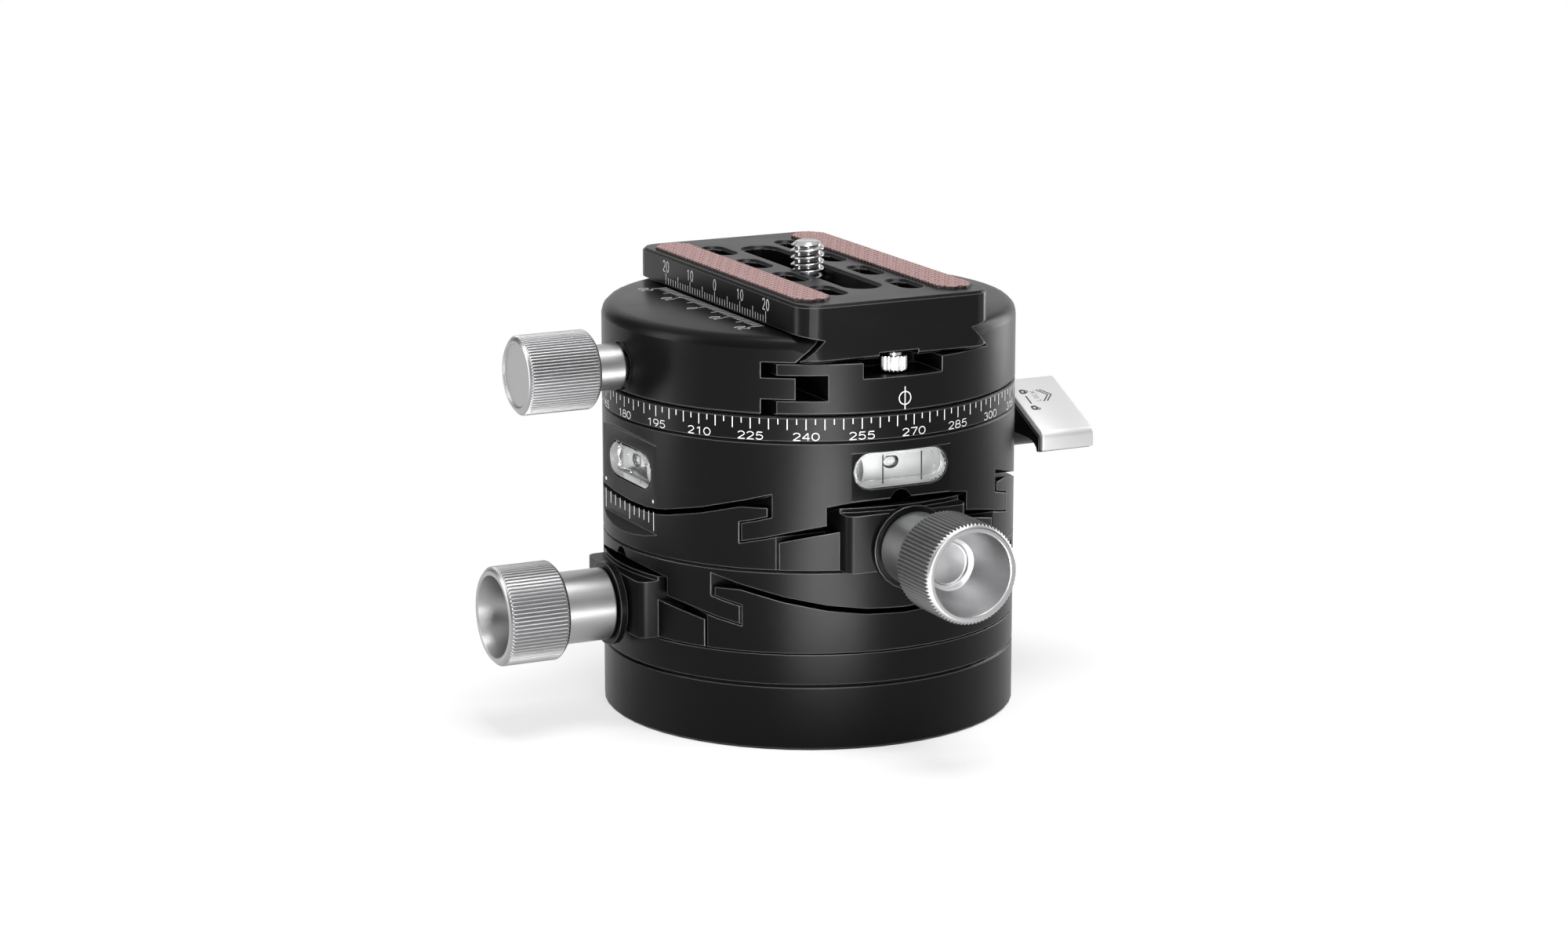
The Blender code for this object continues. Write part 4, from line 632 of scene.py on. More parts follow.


# ---------------------------------------------------------------- finishes


# each machined finish: its colour or the name of the user's, the colour that its edges turn to as wear
# and painted highlight, how metallic and how rough it is, its specular level, how far its edges turn to
# that colour, and its grain's depth in millimetres
MACHINED = {
    "black_anodised": ("black", (0.4, 0.4, 0.41), 0.0, 0.33, 0.10, 0.42, 0.012),
    "black_steel": ((0.006, 0.006, 0.0062), (0.3, 0.3, 0.31), 0.0, 0.3, 0.3, 0.6, 0.012),
    "clear_anodised": ("silver", (0.75, 0.75, 0.75), 1.0, 0.35, 0.5, 0.35, 0.006),
    "satin_cap": ((0.54, 0.54, 0.54), (0.7, 0.7, 0.7), 0.6, 0.45, 0.5, 0.3, 0.004),
    "stainless": ("steel", (0.85, 0.85, 0.85), 1.0, 0.17, 0.5, 0.4, 0.004),
    "bronze": ("bronze", (0.6, 0.36, 0.16), 1.0, 0.32, 0.5, 0.5, 0.012),
    "acetal": ((0.7, 0.7, 0.68), (0.8, 0.8, 0.78), 0.0, 0.45, 0.5, 0.5, 0.012),
}
# the near-black grey of the painted shade in the knurls' valleys
KNURL_PAINTED_SHADE = (0.15, 0.15, 0.153)


def colour_of(name):
    """One of the colours that a user may change."""
    return tuple(getattr(bpy.context.scene.head_finishes, name))


def machined(kind, name=None, centre=None, axis=None, knurl=None):
    """A machined finish: blasted grain, tool marks where it is turned, and paler, more metallic edges,
    partly wear and partly a painted highlight.

    centre and axis are a turned piece's; knurl is (start, end, crest) of a knurled length along the axis,
    whose valleys get a painted shade. Black anodising also rounds the drum's wall."""
    colour, wear_and_highlight_colour, metallic, roughness, level, edge, grain = MACHINED[kind]
    colour = colour_of(colour) if isinstance(colour, str) else colour
    made = new_material(name or kind)
    tree, sizes = made[1], bpy.context.scene.head_sizes
    grained = use_group(tree, fine_grain_group)
    if kind == "black_anodised":
        normal = use_group(tree, turned_wall_group, {"Radius": drum_radius}).outputs[0]
    else:
        normal = node(tree, "NewGeometry").outputs["Normal"]
    rim = use_group(tree, broken_edge_group, {"Radius": sizes.edge_radius, "Normal": normal})
    normal = bumped(tree, grained.outputs["Height"], 0.6, grain * MM, Normal=rim.outputs[0])
    if axis:
        marks = use_group(tree, lathe_marks_group, {"Centre": centre, "Axis": axis})
        normal = bumped(tree, marks.outputs[0], 0.5, 0.003 * MM, Normal=normal)
    # wear and painted highlight: the rim of every edge turns to the paler colour and grows more metallic
    wear_and_highlight = maths(tree, "MULTIPLY", rim.outputs["Edge"], edge)
    shade = tinted(tree, colour, wear_and_highlight_colour, wear_and_highlight)
    # painted shade: a knurled length darkens towards that grey in the valleys between its ribs
    if knurl:
        links = {"Along": marks.outputs["Along"], "Radius": marks.outputs["Radius"]}
        links.update(zip(("Start", "End", "Crest", "Depth"), (*knurl, sizes.knurl_depth)))
        shade = tinted(tree, shade, KNURL_PAINTED_SHADE, use_group(tree, knurl_valleys_group, links).outputs[0])
    if metallic < 1.0:
        metallic = maths(tree, "MAXIMUM", wear_and_highlight, metallic)
    rough = drifted(tree, grained.outputs["Drift"], roughness, 0.03)
    looks = {"Base Color": shade, "Metallic": metallic, "Roughness": rough, "Specular IOR Level": level}
    return principled(made, {**looks, "Normal": normal})


def grip_rubber():
    """Moulded rubber: its colour on the crests, darkened to near black in the pits as painted shade."""
    made = new_material("grip_rubber")
    tree, depth = made[1], bpy.context.scene.head_sizes.grain_depth
    level = node(tree, "SeparateXYZ", {0: here(tree)}).outputs[2]
    top = float(high("left_grip_pad")[2])
    # painted shade: below the crests the colour darkens towards near black deeper in the pits
    crest = ranged(tree, level, top - 0.7 * depth, top - 0.12 * depth)
    grained = use_group(tree, fine_grain_group, {"Size": 0.05 * MM}).outputs
    looks = {
        "Base Color": tinted(tree, (0.018, 0.010, 0.010), colour_of("rubber"), crest),
        "Roughness": drifted(tree, grained["Drift"], 0.62, 0.05),
        "Normal": bumped(tree, grained["Height"], 0.5, 0.02 * MM),
        "Specular IOR Level": 0.4,
    }
    return principled(made, looks)


def scale_paint(name="scale_paint", shade=None):
    """Matt paint in the engraved marks."""
    made = new_material(name)
    tree, colour = made[1], shade or colour_of("paint")
    grained = use_group(tree, fine_grain_group, {"Size": 0.04 * MM}).outputs
    shade = tinted(tree, colour, tuple(0.85 * x for x in colour), grained["Drift"])
    rough = drifted(tree, grained["Height"], 0.55, 0.05)
    return principled(made, {"Base Color": shade, "Roughness": rough})


def clear_plastic(name, tint, roughness, ior):
    """Clear acrylic, liquid or air: refracts, and lets shadow rays through to light what is inside."""
    material, tree, out = new_material(name)
    tint = (*tint, 1.0)
    drift = use_group(tree, fine_grain_group, {"Size": 0.5 * MM}).outputs["Drift"]
    rough = drifted(tree, drift, roughness, roughness * 0.5)
    looks = {"Base Color": tint, "Metallic": 0.0, "Transmission Weight": 1.0, "Roughness": rough, "IOR": ior}
    shader = node(tree, "BsdfPrincipled", looks).outputs[0]
    through = node(tree, "BsdfTransparent", {"Color": tint}).outputs[0]
    path = node(tree, "LightPath").outputs
    soft = maths(tree, "MAXIMUM", path["Is Shadow Ray"], path["Is Diffuse Ray"])
    plug(tree, out, {"Surface": blended(tree, soft, shader, through)})
    return material


def clear_acrylic():
    """Cast acrylic of the vials' blocks."""
    return clear_plastic("clear_acrylic", (0.98, 0.98, 0.98), 0.03, 1.49)


def lit_backing():
    """The white paper behind a vial, which glows a little as painted light."""
    made = new_material("vial_backing")
    drift = use_group(made[1], fine_grain_group, {"Size": 0.2 * MM}).outputs["Drift"]
    shade = tinted(made[1], (0.72, 0.73, 0.73), (0.46, 0.47, 0.47), drift)
    # painted light: a faint glow keeps the paper bright where the block lets little lamp light through
    glow = {"Emission Color": (0.8, 0.82, 0.8, 1.0), "Emission Strength": 0.12}
    return principled(made, {"Base Color": shade, "Roughness": 0.5, **glow})


_materials = {}


def finish(kind, *values):
    """A finish, made once for each set of its values."""
    key = (kind, values)
    if key not in _materials:
        _materials[key] = kind(*values)
    return _materials[key]


def painted(name, body, *shapes, marks=True):
    """A piece of scale paint on a body."""
    finish_piece(name, joined(*shapes), finish(scale_paint), body, "white_acetal", marks=marks)


# ---------------------------------------------------------------- operators, one for each group of pieces


class HEAD_OT_machined_bodies(bpy.types.Operator):
    """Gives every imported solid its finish, and smooths the facets of its round walls"""

    bl_idname = "head.machined_bodies"
    bl_label = "Machined bodies"

    def execute(self, context):
        slots = {row["node"]: row["material_slot"] for row in frame["record"]["subparts"]}
        turned = (None, (0.0, 0.0, 0.0), UP)
        finishes = {
            "silver_anodised": (machined, "clear_anodised", *turned),
            "stainless_steel": (machined, "stainless", *turned),
            "brown_rubber": (grip_rubber,),
            "white_acetal": (machined, "acetal"),
            "clear_acrylic": (clear_acrylic,),
        }
        for name, item in frame["nodes"].items():
            item.data.materials.clear()
            item.data.materials.append(finish(*finishes.get(slots[name], (machined, slots[name]))))
            item.data.shade_smooth()
            item.modifiers.new("merge", "WELD").merge_threshold = 0.0005 * MM
            item.modifiers.new("crease", "EDGE_SPLIT").split_angle = math.radians(31)
        return {"FINISHED"}


def knurl_limit(sides, count, radius, depth, flatness=0.62):
    """A knurl's outer limit at each angle: narrow crests at the radius, broad round valleys between them."""
    turn = np.arange(sides) * count / sides
    return radius - depth * (0.5 - 0.5 * np.cos(2 * np.pi * turn)) ** flatness


def knob_shape(line, shoulder, end, rim, head, least, hole=None):
    """A knurled knob about Z from its side line of (along, radius) rows.

    The line is divided finely at the head's two rims; it is knurled from the shoulder on, where its radius
    is over least. hole is (along, radius, depth) of a bore at +X."""
    line = divided(line, shoulder - 0.001 * MM, shoulder + rim, 0.09 * MM)
    line = divided(line, end - rim, end + 0.001 * MM, 0.09 * MM)
    knurled = (line[:, 0] > shoulder - 0.01 * MM) & (line[:, 1] > least)
    sizes = bpy.context.scene.head_sizes
    sides = sizes.knurl_count * 8
    cap = knurl_limit(sides, sizes.knurl_count, head, sizes.knurl_depth)
    points, faces = lathe(np.column_stack([line, knurled]), sides, cap)
    if hole:
        along, size, depth = hole
        distance = np.hypot(points[:, 2] - along, points[:, 1])
        outside = np.hypot(points[:, 0], points[:, 1]) > 4 * MM
        sunk = (points[:, 0] > 0) & (distance < size) & outside
        slope = np.clip((size - distance) / (0.12 * MM), 0, 1)
        points[:, 0] -= np.where(sunk, depth * slope, 0.0)
    return points, faces


class HEAD_OT_worm_knobs(bpy.types.Operator):
    """Makes the two worm knobs: a turned neck with a set screw hole, a knurled head and a coned cup"""

    bl_idname = "head.worm_knobs"
    bl_label = "Worm knobs"

    def execute(self, context):
        neck, head, chamfer = 6.6 * MM, 9.05 * MM, 0.75 * MM
        # along and radius from the drum's axis outwards, then back down the cup to the axis
        start, shoulder, end = 41.7 * MM, 51.6 * MM, 63.3 * MM
        outer = [
            (start, 0.0), (start, neck), (shoulder, neck), (shoulder, head - chamfer),
            (shoulder + chamfer, head), (end - chamfer, head), (end, head - chamfer), (end, 7.5 * MM),
            (end - 8.2 * MM, 4.7 * MM), (end - 8.7 * MM, 3.9 * MM), (end - 9.2 * MM, 3.7 * MM),
            (end - 9.05 * MM, 0.0),
        ]  # fmt: skip
        ease = np.array([0, 0.3, 0, 0.1, 0.12, 0.12, 0.35, 0.16, 0.3, 0.25, 0.3, 0]) * MM
        line = held(eased(outer, ease))
        line = divided(line, start + 2.2 * MM, start + 6.4 * MM, 0.11 * MM)
        line = divided(line, start + 0.4 * MM, shoulder - 0.1 * MM, 0.5 * MM)
        hole = (start + 4.1 * MM, 1.75 * MM, 1.1 * MM)
        shape = knob_shape(line, shoulder, end, 0.9 * MM, head, 8.2 * MM, hole)
        knurl = (shoulder + 0.6 * MM, end - 0.6 * MM, head)
        for prefix, axis, direction, height, _ in WORMS:
            # the set screw's hole is at +X of the turned shape, and looks up on the head
            at = toward(axis, (0, 0, height))
            side = at.to_3x3().inverted() @ Vector((0, 0, 1))
            at = at @ Matrix.Rotation(math.atan2(side.y, side.x), 4, "Z")
            name, centre = prefix + "_knob", (0.0, 0.0, height)
            silver = finish(machined, "clear_anodised", name + "_anodised", centre, direction, knurl)
            finish_piece(
                name + "_turned", placed(shape, at), silver, prefix + "_worm_unit", "silver_anodised",
                [name], sharp=75,
            )  # fmt: skip
        return {"FINISHED"}


class HEAD_OT_set_screws(bpy.types.Operator):
    """Makes the hexagon socket set screws in the necks of the worm knobs"""

    bl_idname = "head.set_screws"
    bl_label = "Set screws"

    def execute(self, context):
        size, top, length, depth, socket = 1.5 * MM, 6.0 * MM, 3.6 * MM, 1.2 * MM, 1.05 * MM
        sides = 48
        t = 2 * np.pi * np.arange(sides) / sides
        hexagon = 0.9 * MM * np.cos(np.pi / 6) / np.cos((t + np.pi / 6) % (np.pi / 3) - np.pi / 6)
        rows = [
            (top - length, 0.0, 0), (top - length, size, 0), (top - 0.25 * MM, size, 0),
            (top, size - 0.25 * MM, 0), (top, socket, 0), (top - 0.12 * MM, socket, 1),
            (top - depth, socket, 1), (top - depth - 0.2 * MM, 0.0, 0),
        ]  # fmt: skip
        shape = lathe(held(rows, 0.03 * MM), sides, hexagon)
        for prefix, *_, place in WORMS:
            name, moved = prefix + "_set_screw", placed(shape, Matrix.Translation(place))
            steel = finish(machined, "stainless", name + "_steel", place, UP)
            replaced = [prefix + "_knob_set_screw"]
            finish_piece(name, moved, steel, prefix + "_worm_unit", "black_steel", replaced)
        return {"FINISHED"}


class HEAD_OT_clamp_knob(bpy.types.Operator):
    """Makes the clamp's knob: a plain neck and a long knurled head with a shallow face"""

    bl_idname = "head.clamp_knob"
    bl_label = "Clamp knob"

    def execute(self, context):
        start, shoulder, end = 38.3 * MM, 44.2 * MM, 58.2 * MM
        neck, head, dish = 4.2 * MM, 7.2 * MM, 0.3 * MM
        outer = [
            (start, 0.0), (start, neck), (shoulder, neck), (shoulder, head - 0.8 * MM),
            (shoulder + 0.7 * MM, head), (end - 0.7 * MM, head), (end, head - 0.9 * MM),
            (end, 5.75 * MM), (end - dish, 5.65 * MM), (end - dish, 0.0),
        ]  # fmt: skip
        ease = np.array([0, 0.35, 0, 0.3, 0.35, 0.3, 0.45, 0.14, 0.12, 0]) * MM
        shape = knob_shape(held(eased(outer, ease)), shoulder, end, 1.0 * MM, head, 6.1 * MM)
        height = 65.75 * MM
        shift = float(low("clamp_knob")[0]) + end
        knurl = (shoulder - shift + 0.6 * MM, end - shift - 0.6 * MM, head)
        centre, axis = (0.0, 0.0, height), (1.0, 0.0, 0.0)
        silver = finish(machined, "clear_anodised", "clamp_knob_anodised", centre, axis, knurl)
        shape = placed(shape, toward("-X", (shift, 0, height)))
        finish_piece(
            "clamp_knob_turned", shape, silver, "jaw_knob", "silver_anodised", ["clamp_knob"], sharp=75
        )
        return {"FINISHED"}


class HEAD_OT_camera_screw(bpy.types.Operator):
    """Makes the camera screw: a threaded stud on a round head"""

    bl_idname = "head.camera_screw"
    bl_label = "Camera screw"

    def execute(self, context):
        pitch, major, minor = context.scene.head_sizes.thread_pitch, 3.1 * MM, 2.42 * MM
        box_low, box_high = low("camera_screw"), high("camera_screw")
        top, bottom = float(box_high[2]) - 0.7 * MM, float(box_low[2])
        shoulder = bottom + 3.8 * MM
        centre = (0.0, float(box_low[1] + box_high[1]) / 2, 0.0)
        sides, rows = 64, 150
        t = 2 * np.pi * np.arange(sides) / sides
        z = np.linspace(shoulder + 0.05 * MM, top, rows)
        # ridge height from the helix phase: 0 in the root, 1 on the crest, flanks at 30 degrees
        phase = (z[:, None] / pitch - t[None, :] / (2 * np.pi)) % 1.0
        ridge = np.clip((0.5 - np.abs(phase - 0.5)) * 2 * 1.25 - 0.1, 0, 1)
        radius = minor + (major - minor) * ridge
        run_out = np.clip((z - shoulder - 0.1 * MM) / (0.9 * MM), 0, 1)[:, None]
        radius = minor + (radius - minor) * run_out
        point = 2.0 * MM + (top - z) * 1.25
        radius = np.minimum(radius, point[:, None])
        thread = np.stack([radius * np.cos(t), radius * np.sin(t), np.repeat(z[:, None], sides, 1)], -1)
        head = [
            (bottom + 0.02 * MM, 0.0), (bottom, 4.3 * MM), (bottom + 0.4 * MM, 4.7 * MM),
            (shoulder - 0.3 * MM, 4.7 * MM), (shoulder, 4.4 * MM), (shoulder, minor + 0.2 * MM),
        ]  # fmt: skip
        foot = lathe(held(head), sides)[0].reshape(-1, sides, 3)
        tip = np.zeros((1, sides, 3))
        tip[:, :, 2] = top
        points = np.concatenate([foot, thread, tip]).reshape(-1, 3) + np.array(centre)
        shape = (points, grid_faces(len(foot) + rows + 1, sides))
        steel = finish(machined, "stainless", "camera_screw_steel", centre, UP)
        finish_piece(
            "camera_screw_threaded", shape, steel, "mounting_screw", "stainless_steel",
            ["camera_screw"], sharp=42,
        )  # fmt: skip
        return {"FINISHED"}


class HEAD_OT_stop_screws(bpy.types.Operator):
    """Makes the two knurled stop screws under the plate's ends"""

    bl_idname = "head.stop_screws"
    bl_label = "Plate stop screws"

    def execute(self, context):
        count, sides = 20, 200
        for i in (1, 2):
            name = f"plate_stop_screw_{i}"
            a, b = low(name), high(name)
            radius, bottom = float(b[0] - a[0]) / 2, float(a[2])
            x, y = float(a[0] + b[0]) / 2, float(a[1] + b[1]) / 2
            head = bottom + 2.75 * MM
            collar = head + 0.7 * MM
            rows = [
                (bottom, 0.0, 0), (bottom, radius - 0.2 * MM, 0), (bottom + 0.2 * MM, radius, 1),
                (head - 0.2 * MM, radius, 1), (head, radius - 0.2 * MM, 0), (head, 1.7 * MM, 0),
                (collar - 0.1 * MM, 1.7 * MM, 0), (collar, 1.6 * MM, 0), (collar, 1.1 * MM, 0),
                (collar + 4.0 * MM, 1.1 * MM, 0), (collar + 4.0 * MM, 0.0, 0),
            ]  # fmt: skip
            cap = knurl_limit(sides, count, radius, 0.36 * MM, flatness=0.7)
            shape = placed(lathe(held(rows, 0.04 * MM), sides, cap), Matrix.Translation((x, y, 0)))
            steel = finish(machined, "stainless", f"plate_stop_steel_{i}", (x, y, 0.0), UP)
            finish_piece(f"plate_stop_{i}", shape, steel, "plate", "stainless_steel", [name], sharp=60)
        return {"FINISHED"}


class HEAD_OT_plate(bpy.types.Operator):
    """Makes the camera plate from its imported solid, with the chamfers of its slots cut in"""

    bl_idname = "head.plate"
    bl_label = "Camera plate"

    def execute(self, context):
        top, cut, over = float(plate_high[2]), context.scene.head_sizes.slot_chamfer, 0.05 * MM
        stations = [(top - cut - over, over), (top + over, -cut - over)]
        quarter = Matrix.Rotation(math.pi / 2, 4, "Z")
        # each slot: its middle, half its length, and half its width
        slots = [((0, -0.5 * MM, 0), 24.0 * MM, 3.4 * MM)]
        for x in (-7.6 * MM, 7.6 * MM):
            slots += [((x, y * MM, 0), 4.7 * MM, 1.9 * MM) for y in (-23.0, -8.0, 7.0, 22.0)]
        tools = [
            placed(extruded(oblong(half, radius), stations), Matrix.Translation(place) @ quarter)
            for place, half, radius in slots
        ]
        shape, black = carved("camera_plate", joined(*tools)), finish(machined, "black_anodised")
        finish_piece(
            "camera_plate_chamfered", shape, black, "plate", "black_anodised", ["camera_plate"], sharp=31
        )
        return {"FINISHED"}


class HEAD_OT_grip_pads(bpy.types.Operator):
    """Makes the two grip pads with their close rows of pits"""

    bl_idname = "head.grip_pads"
    bl_label = "Grip pads"

    def execute(self, context):
        sizes = context.scene.head_sizes
        rows, columns = 640, 72
        corner, border = 2.2 * MM, 0.25 * MM
        for name in ("left_grip_pad", "right_grip_pad"):
            a, b = low(name), high(name)
            centre, half = (a + b) / 2, (b - a) / 2
            y = np.linspace(-half[1], half[1], rows)
            width = half[0] - np.clip(np.abs(y) - (half[1] - corner), 0, None)
            x = np.linspace(-1, 1, columns)[None, :] * width[:, None]
            y = np.repeat(y[:, None], columns, 1)
            # pits on a rhombic lattice: where two slanting cosine waves both peak, the crest is sunk
            u = 2 * np.pi * (x / (2 * sizes.grain_across) + y / sizes.grain_along)
            v = 2 * np.pi * (x / (2 * sizes.grain_across) - y / sizes.grain_along)
            pit = np.clip(((np.cos(u) + np.cos(v)) / 2 + 0.1) / 0.45, 0, 1)
            pit = pit * pit * (3 - 2 * pit)
            edge = np.minimum((width[:, None] - np.abs(x)) / border, (half[1] - np.abs(y)) / border)
            height = -sizes.grain_depth * pit - 0.12 * MM * (1 - np.clip(edge, 0, 1))
            top = np.stack([centre[0] + x, centre[1] + y, b[2] + height], -1)
            rim = np.concatenate([top[0, :], top[1:, -1], top[-1, -2::-1], top[-2:0:-1, 0]])
            floor = rim.copy()
            floor[:, 2] = a[2]
            wall = grid_faces(2, len(rim)).tolist() + [list(range(len(rim), 2 * len(rim)))]
            shape = joined(
                (top.reshape(-1, 3), grid_faces(rows, columns, wrap=False)),
                (np.concatenate([rim, floor]), wall),
            )
            finish_piece(
                name + "_moulded", shape, finish(grip_rubber), "plate", "brown_rubber", [name], sharp=60
            )
        return {"FINISHED"}


class HEAD_OT_vials(bpy.types.Operator):
    """Makes the two spirit vials: a clear block, its barrel, the bubble, two lines and the paper behind"""

    bl_idname = "head.vials"
    bl_label = "Spirit vials"

    def vial(self, name, deep, lines, bubble_at):
        """One vial, seen along the axis of number deep, with its lines and its bubble at millimetres."""
        a, b = low(name), high(name)
        centre, front, depth = (a + b) / 2, a[deep], b[deep] - a[deep]
        half, radius = (b[1 - deep] - a[1 - deep]) / 2, 3.2 * MM
        # the vial's own axes: across runs to the right as seen from outside, out points to the viewer
        out, up = (0, 0, -1, front), (0, 1, 0, centre[2])
        first = ((1, 0, 0, centre[0]), out) if deep else (out, (-1, 0, 0, centre[1]))
        at = Matrix((*first, up, (0, 0, 0, 1)))

        def part(kind, shape, slot, material, **others):
            """Hangs one part of the vial on the stage."""
            finish_piece(f"{name}_{kind}", placed(shape, at), material, "upper_stage", slot, **others)

        block = [(-depth + 0.45 * MM, 0.0), (-0.25 * MM, 0.0), (-0.08 * MM, 0.07 * MM), (0.0, 0.25 * MM)]
        block = extruded(oblong(half, radius), block)
        part("block", block, "clear_acrylic", finish(clear_acrylic), replaces=[name], sharp=50)
        paper = [(-depth + 0.02 * MM, 0.0), (-depth + 0.4 * MM, 0.0)]
        paper = extruded(oblong(half - 0.02 * MM, radius), paper)
        part("backing", paper, "white_acetal", finish(lit_backing))
        # a slug of air, fatter in the middle and flattened against the top of the barrel
        n, m = 24, 32
        p = np.linspace(0, np.pi, n)[:, None]
        q = 2 * np.pi * np.arange(m)[None, :] / m
        x = 1.55 * MM * np.cos(p) + 0 * q
        y = np.minimum(1.3 * MM * np.sin(p) * np.sin(q), 1.05 * MM)
        z = 1.1 * MM * np.sin(p) * np.cos(q)
        slug = np.stack([x, y, z], -1).reshape(-1, 3) + np.array([bubble_at * MM, 0.9 * MM, -depth / 2])
        air = finish(clear_plastic, "bubble_air", (1.0, 1.0, 1.0), 0.02, 0.72)
        part("bubble", (slug, grid_faces(n, m)), "clear_acrylic", air)
        # the two black lines that the bubble stands between
        feet = np.array([[x * MM, -2.6 * MM, -0.3 * MM] for x in lines])
        ticks = bars(feet, feet + np.array([[0.0, 5.2 * MM, 0.0]]), 0.28 * MM, UP, 0.02 * MM)
        ink = finish(scale_paint, "vial_line_paint", (0.01, 0.01, 0.01))
        part("lines", ticks, "black_steel", ink, marks=True)
        end, wide = half - 2.1 * MM, 2.2 * MM
        barrel = eased([(-end, 0), (-end, wide), (end, wide), (end, 0)], [0, 0.4 * MM, 0.4 * MM, 0])
        barrel = placed(lathe(held(barrel), 48), toward("X", (0, 0, -depth / 2)))
        spirit = finish(clear_plastic, "vial_spirit", (0.985, 0.99, 0.985), 0.02, 0.92)
        part("barrel", barrel, "clear_acrylic", spirit, sharp=50)

    def execute(self, context):
        self.vial("front_vial", 1, (-3.5, 4.2), -1.1)
        self.vial("side_vial", 0, (-3.4, 4.3), 0.6)
        return {"FINISHED"}


def lever_point(along, out):
    """A point of the lever's side view: along its slope from the shaft, and out from it."""
    c, s = math.cos(LEVER_SLOPE), math.sin(LEVER_SLOPE)
    return (-c * along - s * out, -s * along + c * out)


class HEAD_OT_lock_lever(bpy.types.Operator):
    """Makes the lock lever with its bright cap and the cap's printed signs"""

    bl_idname = "head.lock_lever"
    bl_label = "Lock lever"

    def execute(self, context):
        sine, cosine = math.sin(LEVER_SLOPE), math.cos(LEVER_SLOPE)
        hub, thick, reach, drop, rim = 6.8 * MM, 1.2 * MM, 18.0 * MM, 4.2 * MM, 0.22 * MM
        left, width, centre = 39.5 * MM, 10.9 * MM, 50.0 * MM
        back, foot = -1.75 * MM, 4.3 * MM
        start, inner = lever_point(0, hub), hub - thick
        outline = [
            (back, start[1] + (back - start[0]) * math.tan(LEVER_SLOPE)),
            lever_point((reach - hub * sine) / cosine, hub),
            (-reach, -drop),
            (thick - reach, -drop),
            lever_point((reach - thick - inner * sine) / cosine, inner),
            (back - thick, lever_point(0, inner)[1] - 0.28 * MM),
            (back - thick, foot),
            (back, foot),
        ]
        radii = np.array([1.2, 1.7, 0.4, 0.4, 0.6, 0.2, 0.1, 0.1]) * MM
        cap = extruded(
            eased(outline, radii, 7, closed=True),
            [(0.0, rim), (0.07 * MM, 0.07 * MM), (rim, 0.0)]
            + [(width - rim, 0.0), (width - 0.07 * MM, 0.07 * MM), (width, rim)],
        )
        # the hub's top behind the cap is cut away, so that nothing stands above the cap's back edge
        over, far, above = 1.0 * MM, 8.0 * MM, 9.0 * MM
        block = [(back - thick, foot), (far, foot), (far, above), (back - thick, above)]
        notch = extruded(block, [(-over, 0.0), (width + over, 0.0)])
        # an outline's (y, z) stand in the extrusion's x and y, and its z is the head's x
        at = Matrix(((0, 0, 1, left), (1, 0, 0, 0), (0, 1, 0, centre), (0, 0, 0, 1)))
        body, black = carved("pan_lock_lever", placed(notch, at)), finish(machined, "black_anodised")
        finish_piece(
            "lock_lever_body", body, black, "lock_lever", "black_anodised", ["pan_lock_lever"], sharp=31
        )
        finish_piece(
            "lock_lever_cap_rounded", placed(cap, at), finish(machined, "satin_cap"), "lock_lever",
            "silver_anodised", ["pan_lock_lever_cap"], sharp=50,
        )  # fmt: skip
        # signs: x runs across the cap, and s down its slope, in millimetres
        rise = context.scene.head_sizes.mark_rise
        normal, down = lever_point(0, 1.0), lever_point(1.0, 0)
        origin = np.array([left, start[0], centre + start[1]])
        across = np.array([1.0, 0.0, 0.0])
        up = np.array([0.0, -down[0], -down[1]])
        strokes = []

        def spot(x, s):
            """A point on the cap."""
            return origin + across * x * MM - up * s * MM

        def stroke(points, width_mm):
            """A line through points on the cap."""
            p = np.array([spot(*q) for q in points])
            strokes.append(bars(p[:-1], p[1:], width_mm * MM, np.array([0.0, *normal]), rise, rise))

        def padlock(x, s, swing):
            """A square with a shackle, which stands off to one side by swing when it is open."""
            r = 0.45
            corners = [(x - r, s - r), (x + r, s - r), (x + r, s + r), (x - r, s + r), (x - r, s - r)]
            stroke(corners, 0.42)
            t = np.linspace(0, np.pi, 9)
            stroke([(x + 0.5 + 0.55 * math.sin(a), s + swing + 0.32 * math.cos(a)) for a in t], 0.2)

        padlock(2.3, 3.6, 0.0)
        stroke([(2.3, 5.0), (2.3, 7.4)], 0.32)
        padlock(2.3, 8.7, 0.35)
        for shift in (0.0, 0.75):
            stroke([(5.2 + shift, 3.4), (6.9 + shift, 5.2), (5.2 + shift, 7.0)], 0.24)
        word = strokes_on(written("LOCK", 0.95 * MM, 0.6), spot(4.25, 5.2), up, -across, 0.07 * MM, rise)
        ink = finish(scale_paint, "sign_paint", (0.02, 0.02, 0.02))
        finish_piece(
            "lock_lever_signs", joined(*strokes, word), ink, "lock_lever", "black_steel", marks=True
        )
        return {"FINISHED"}


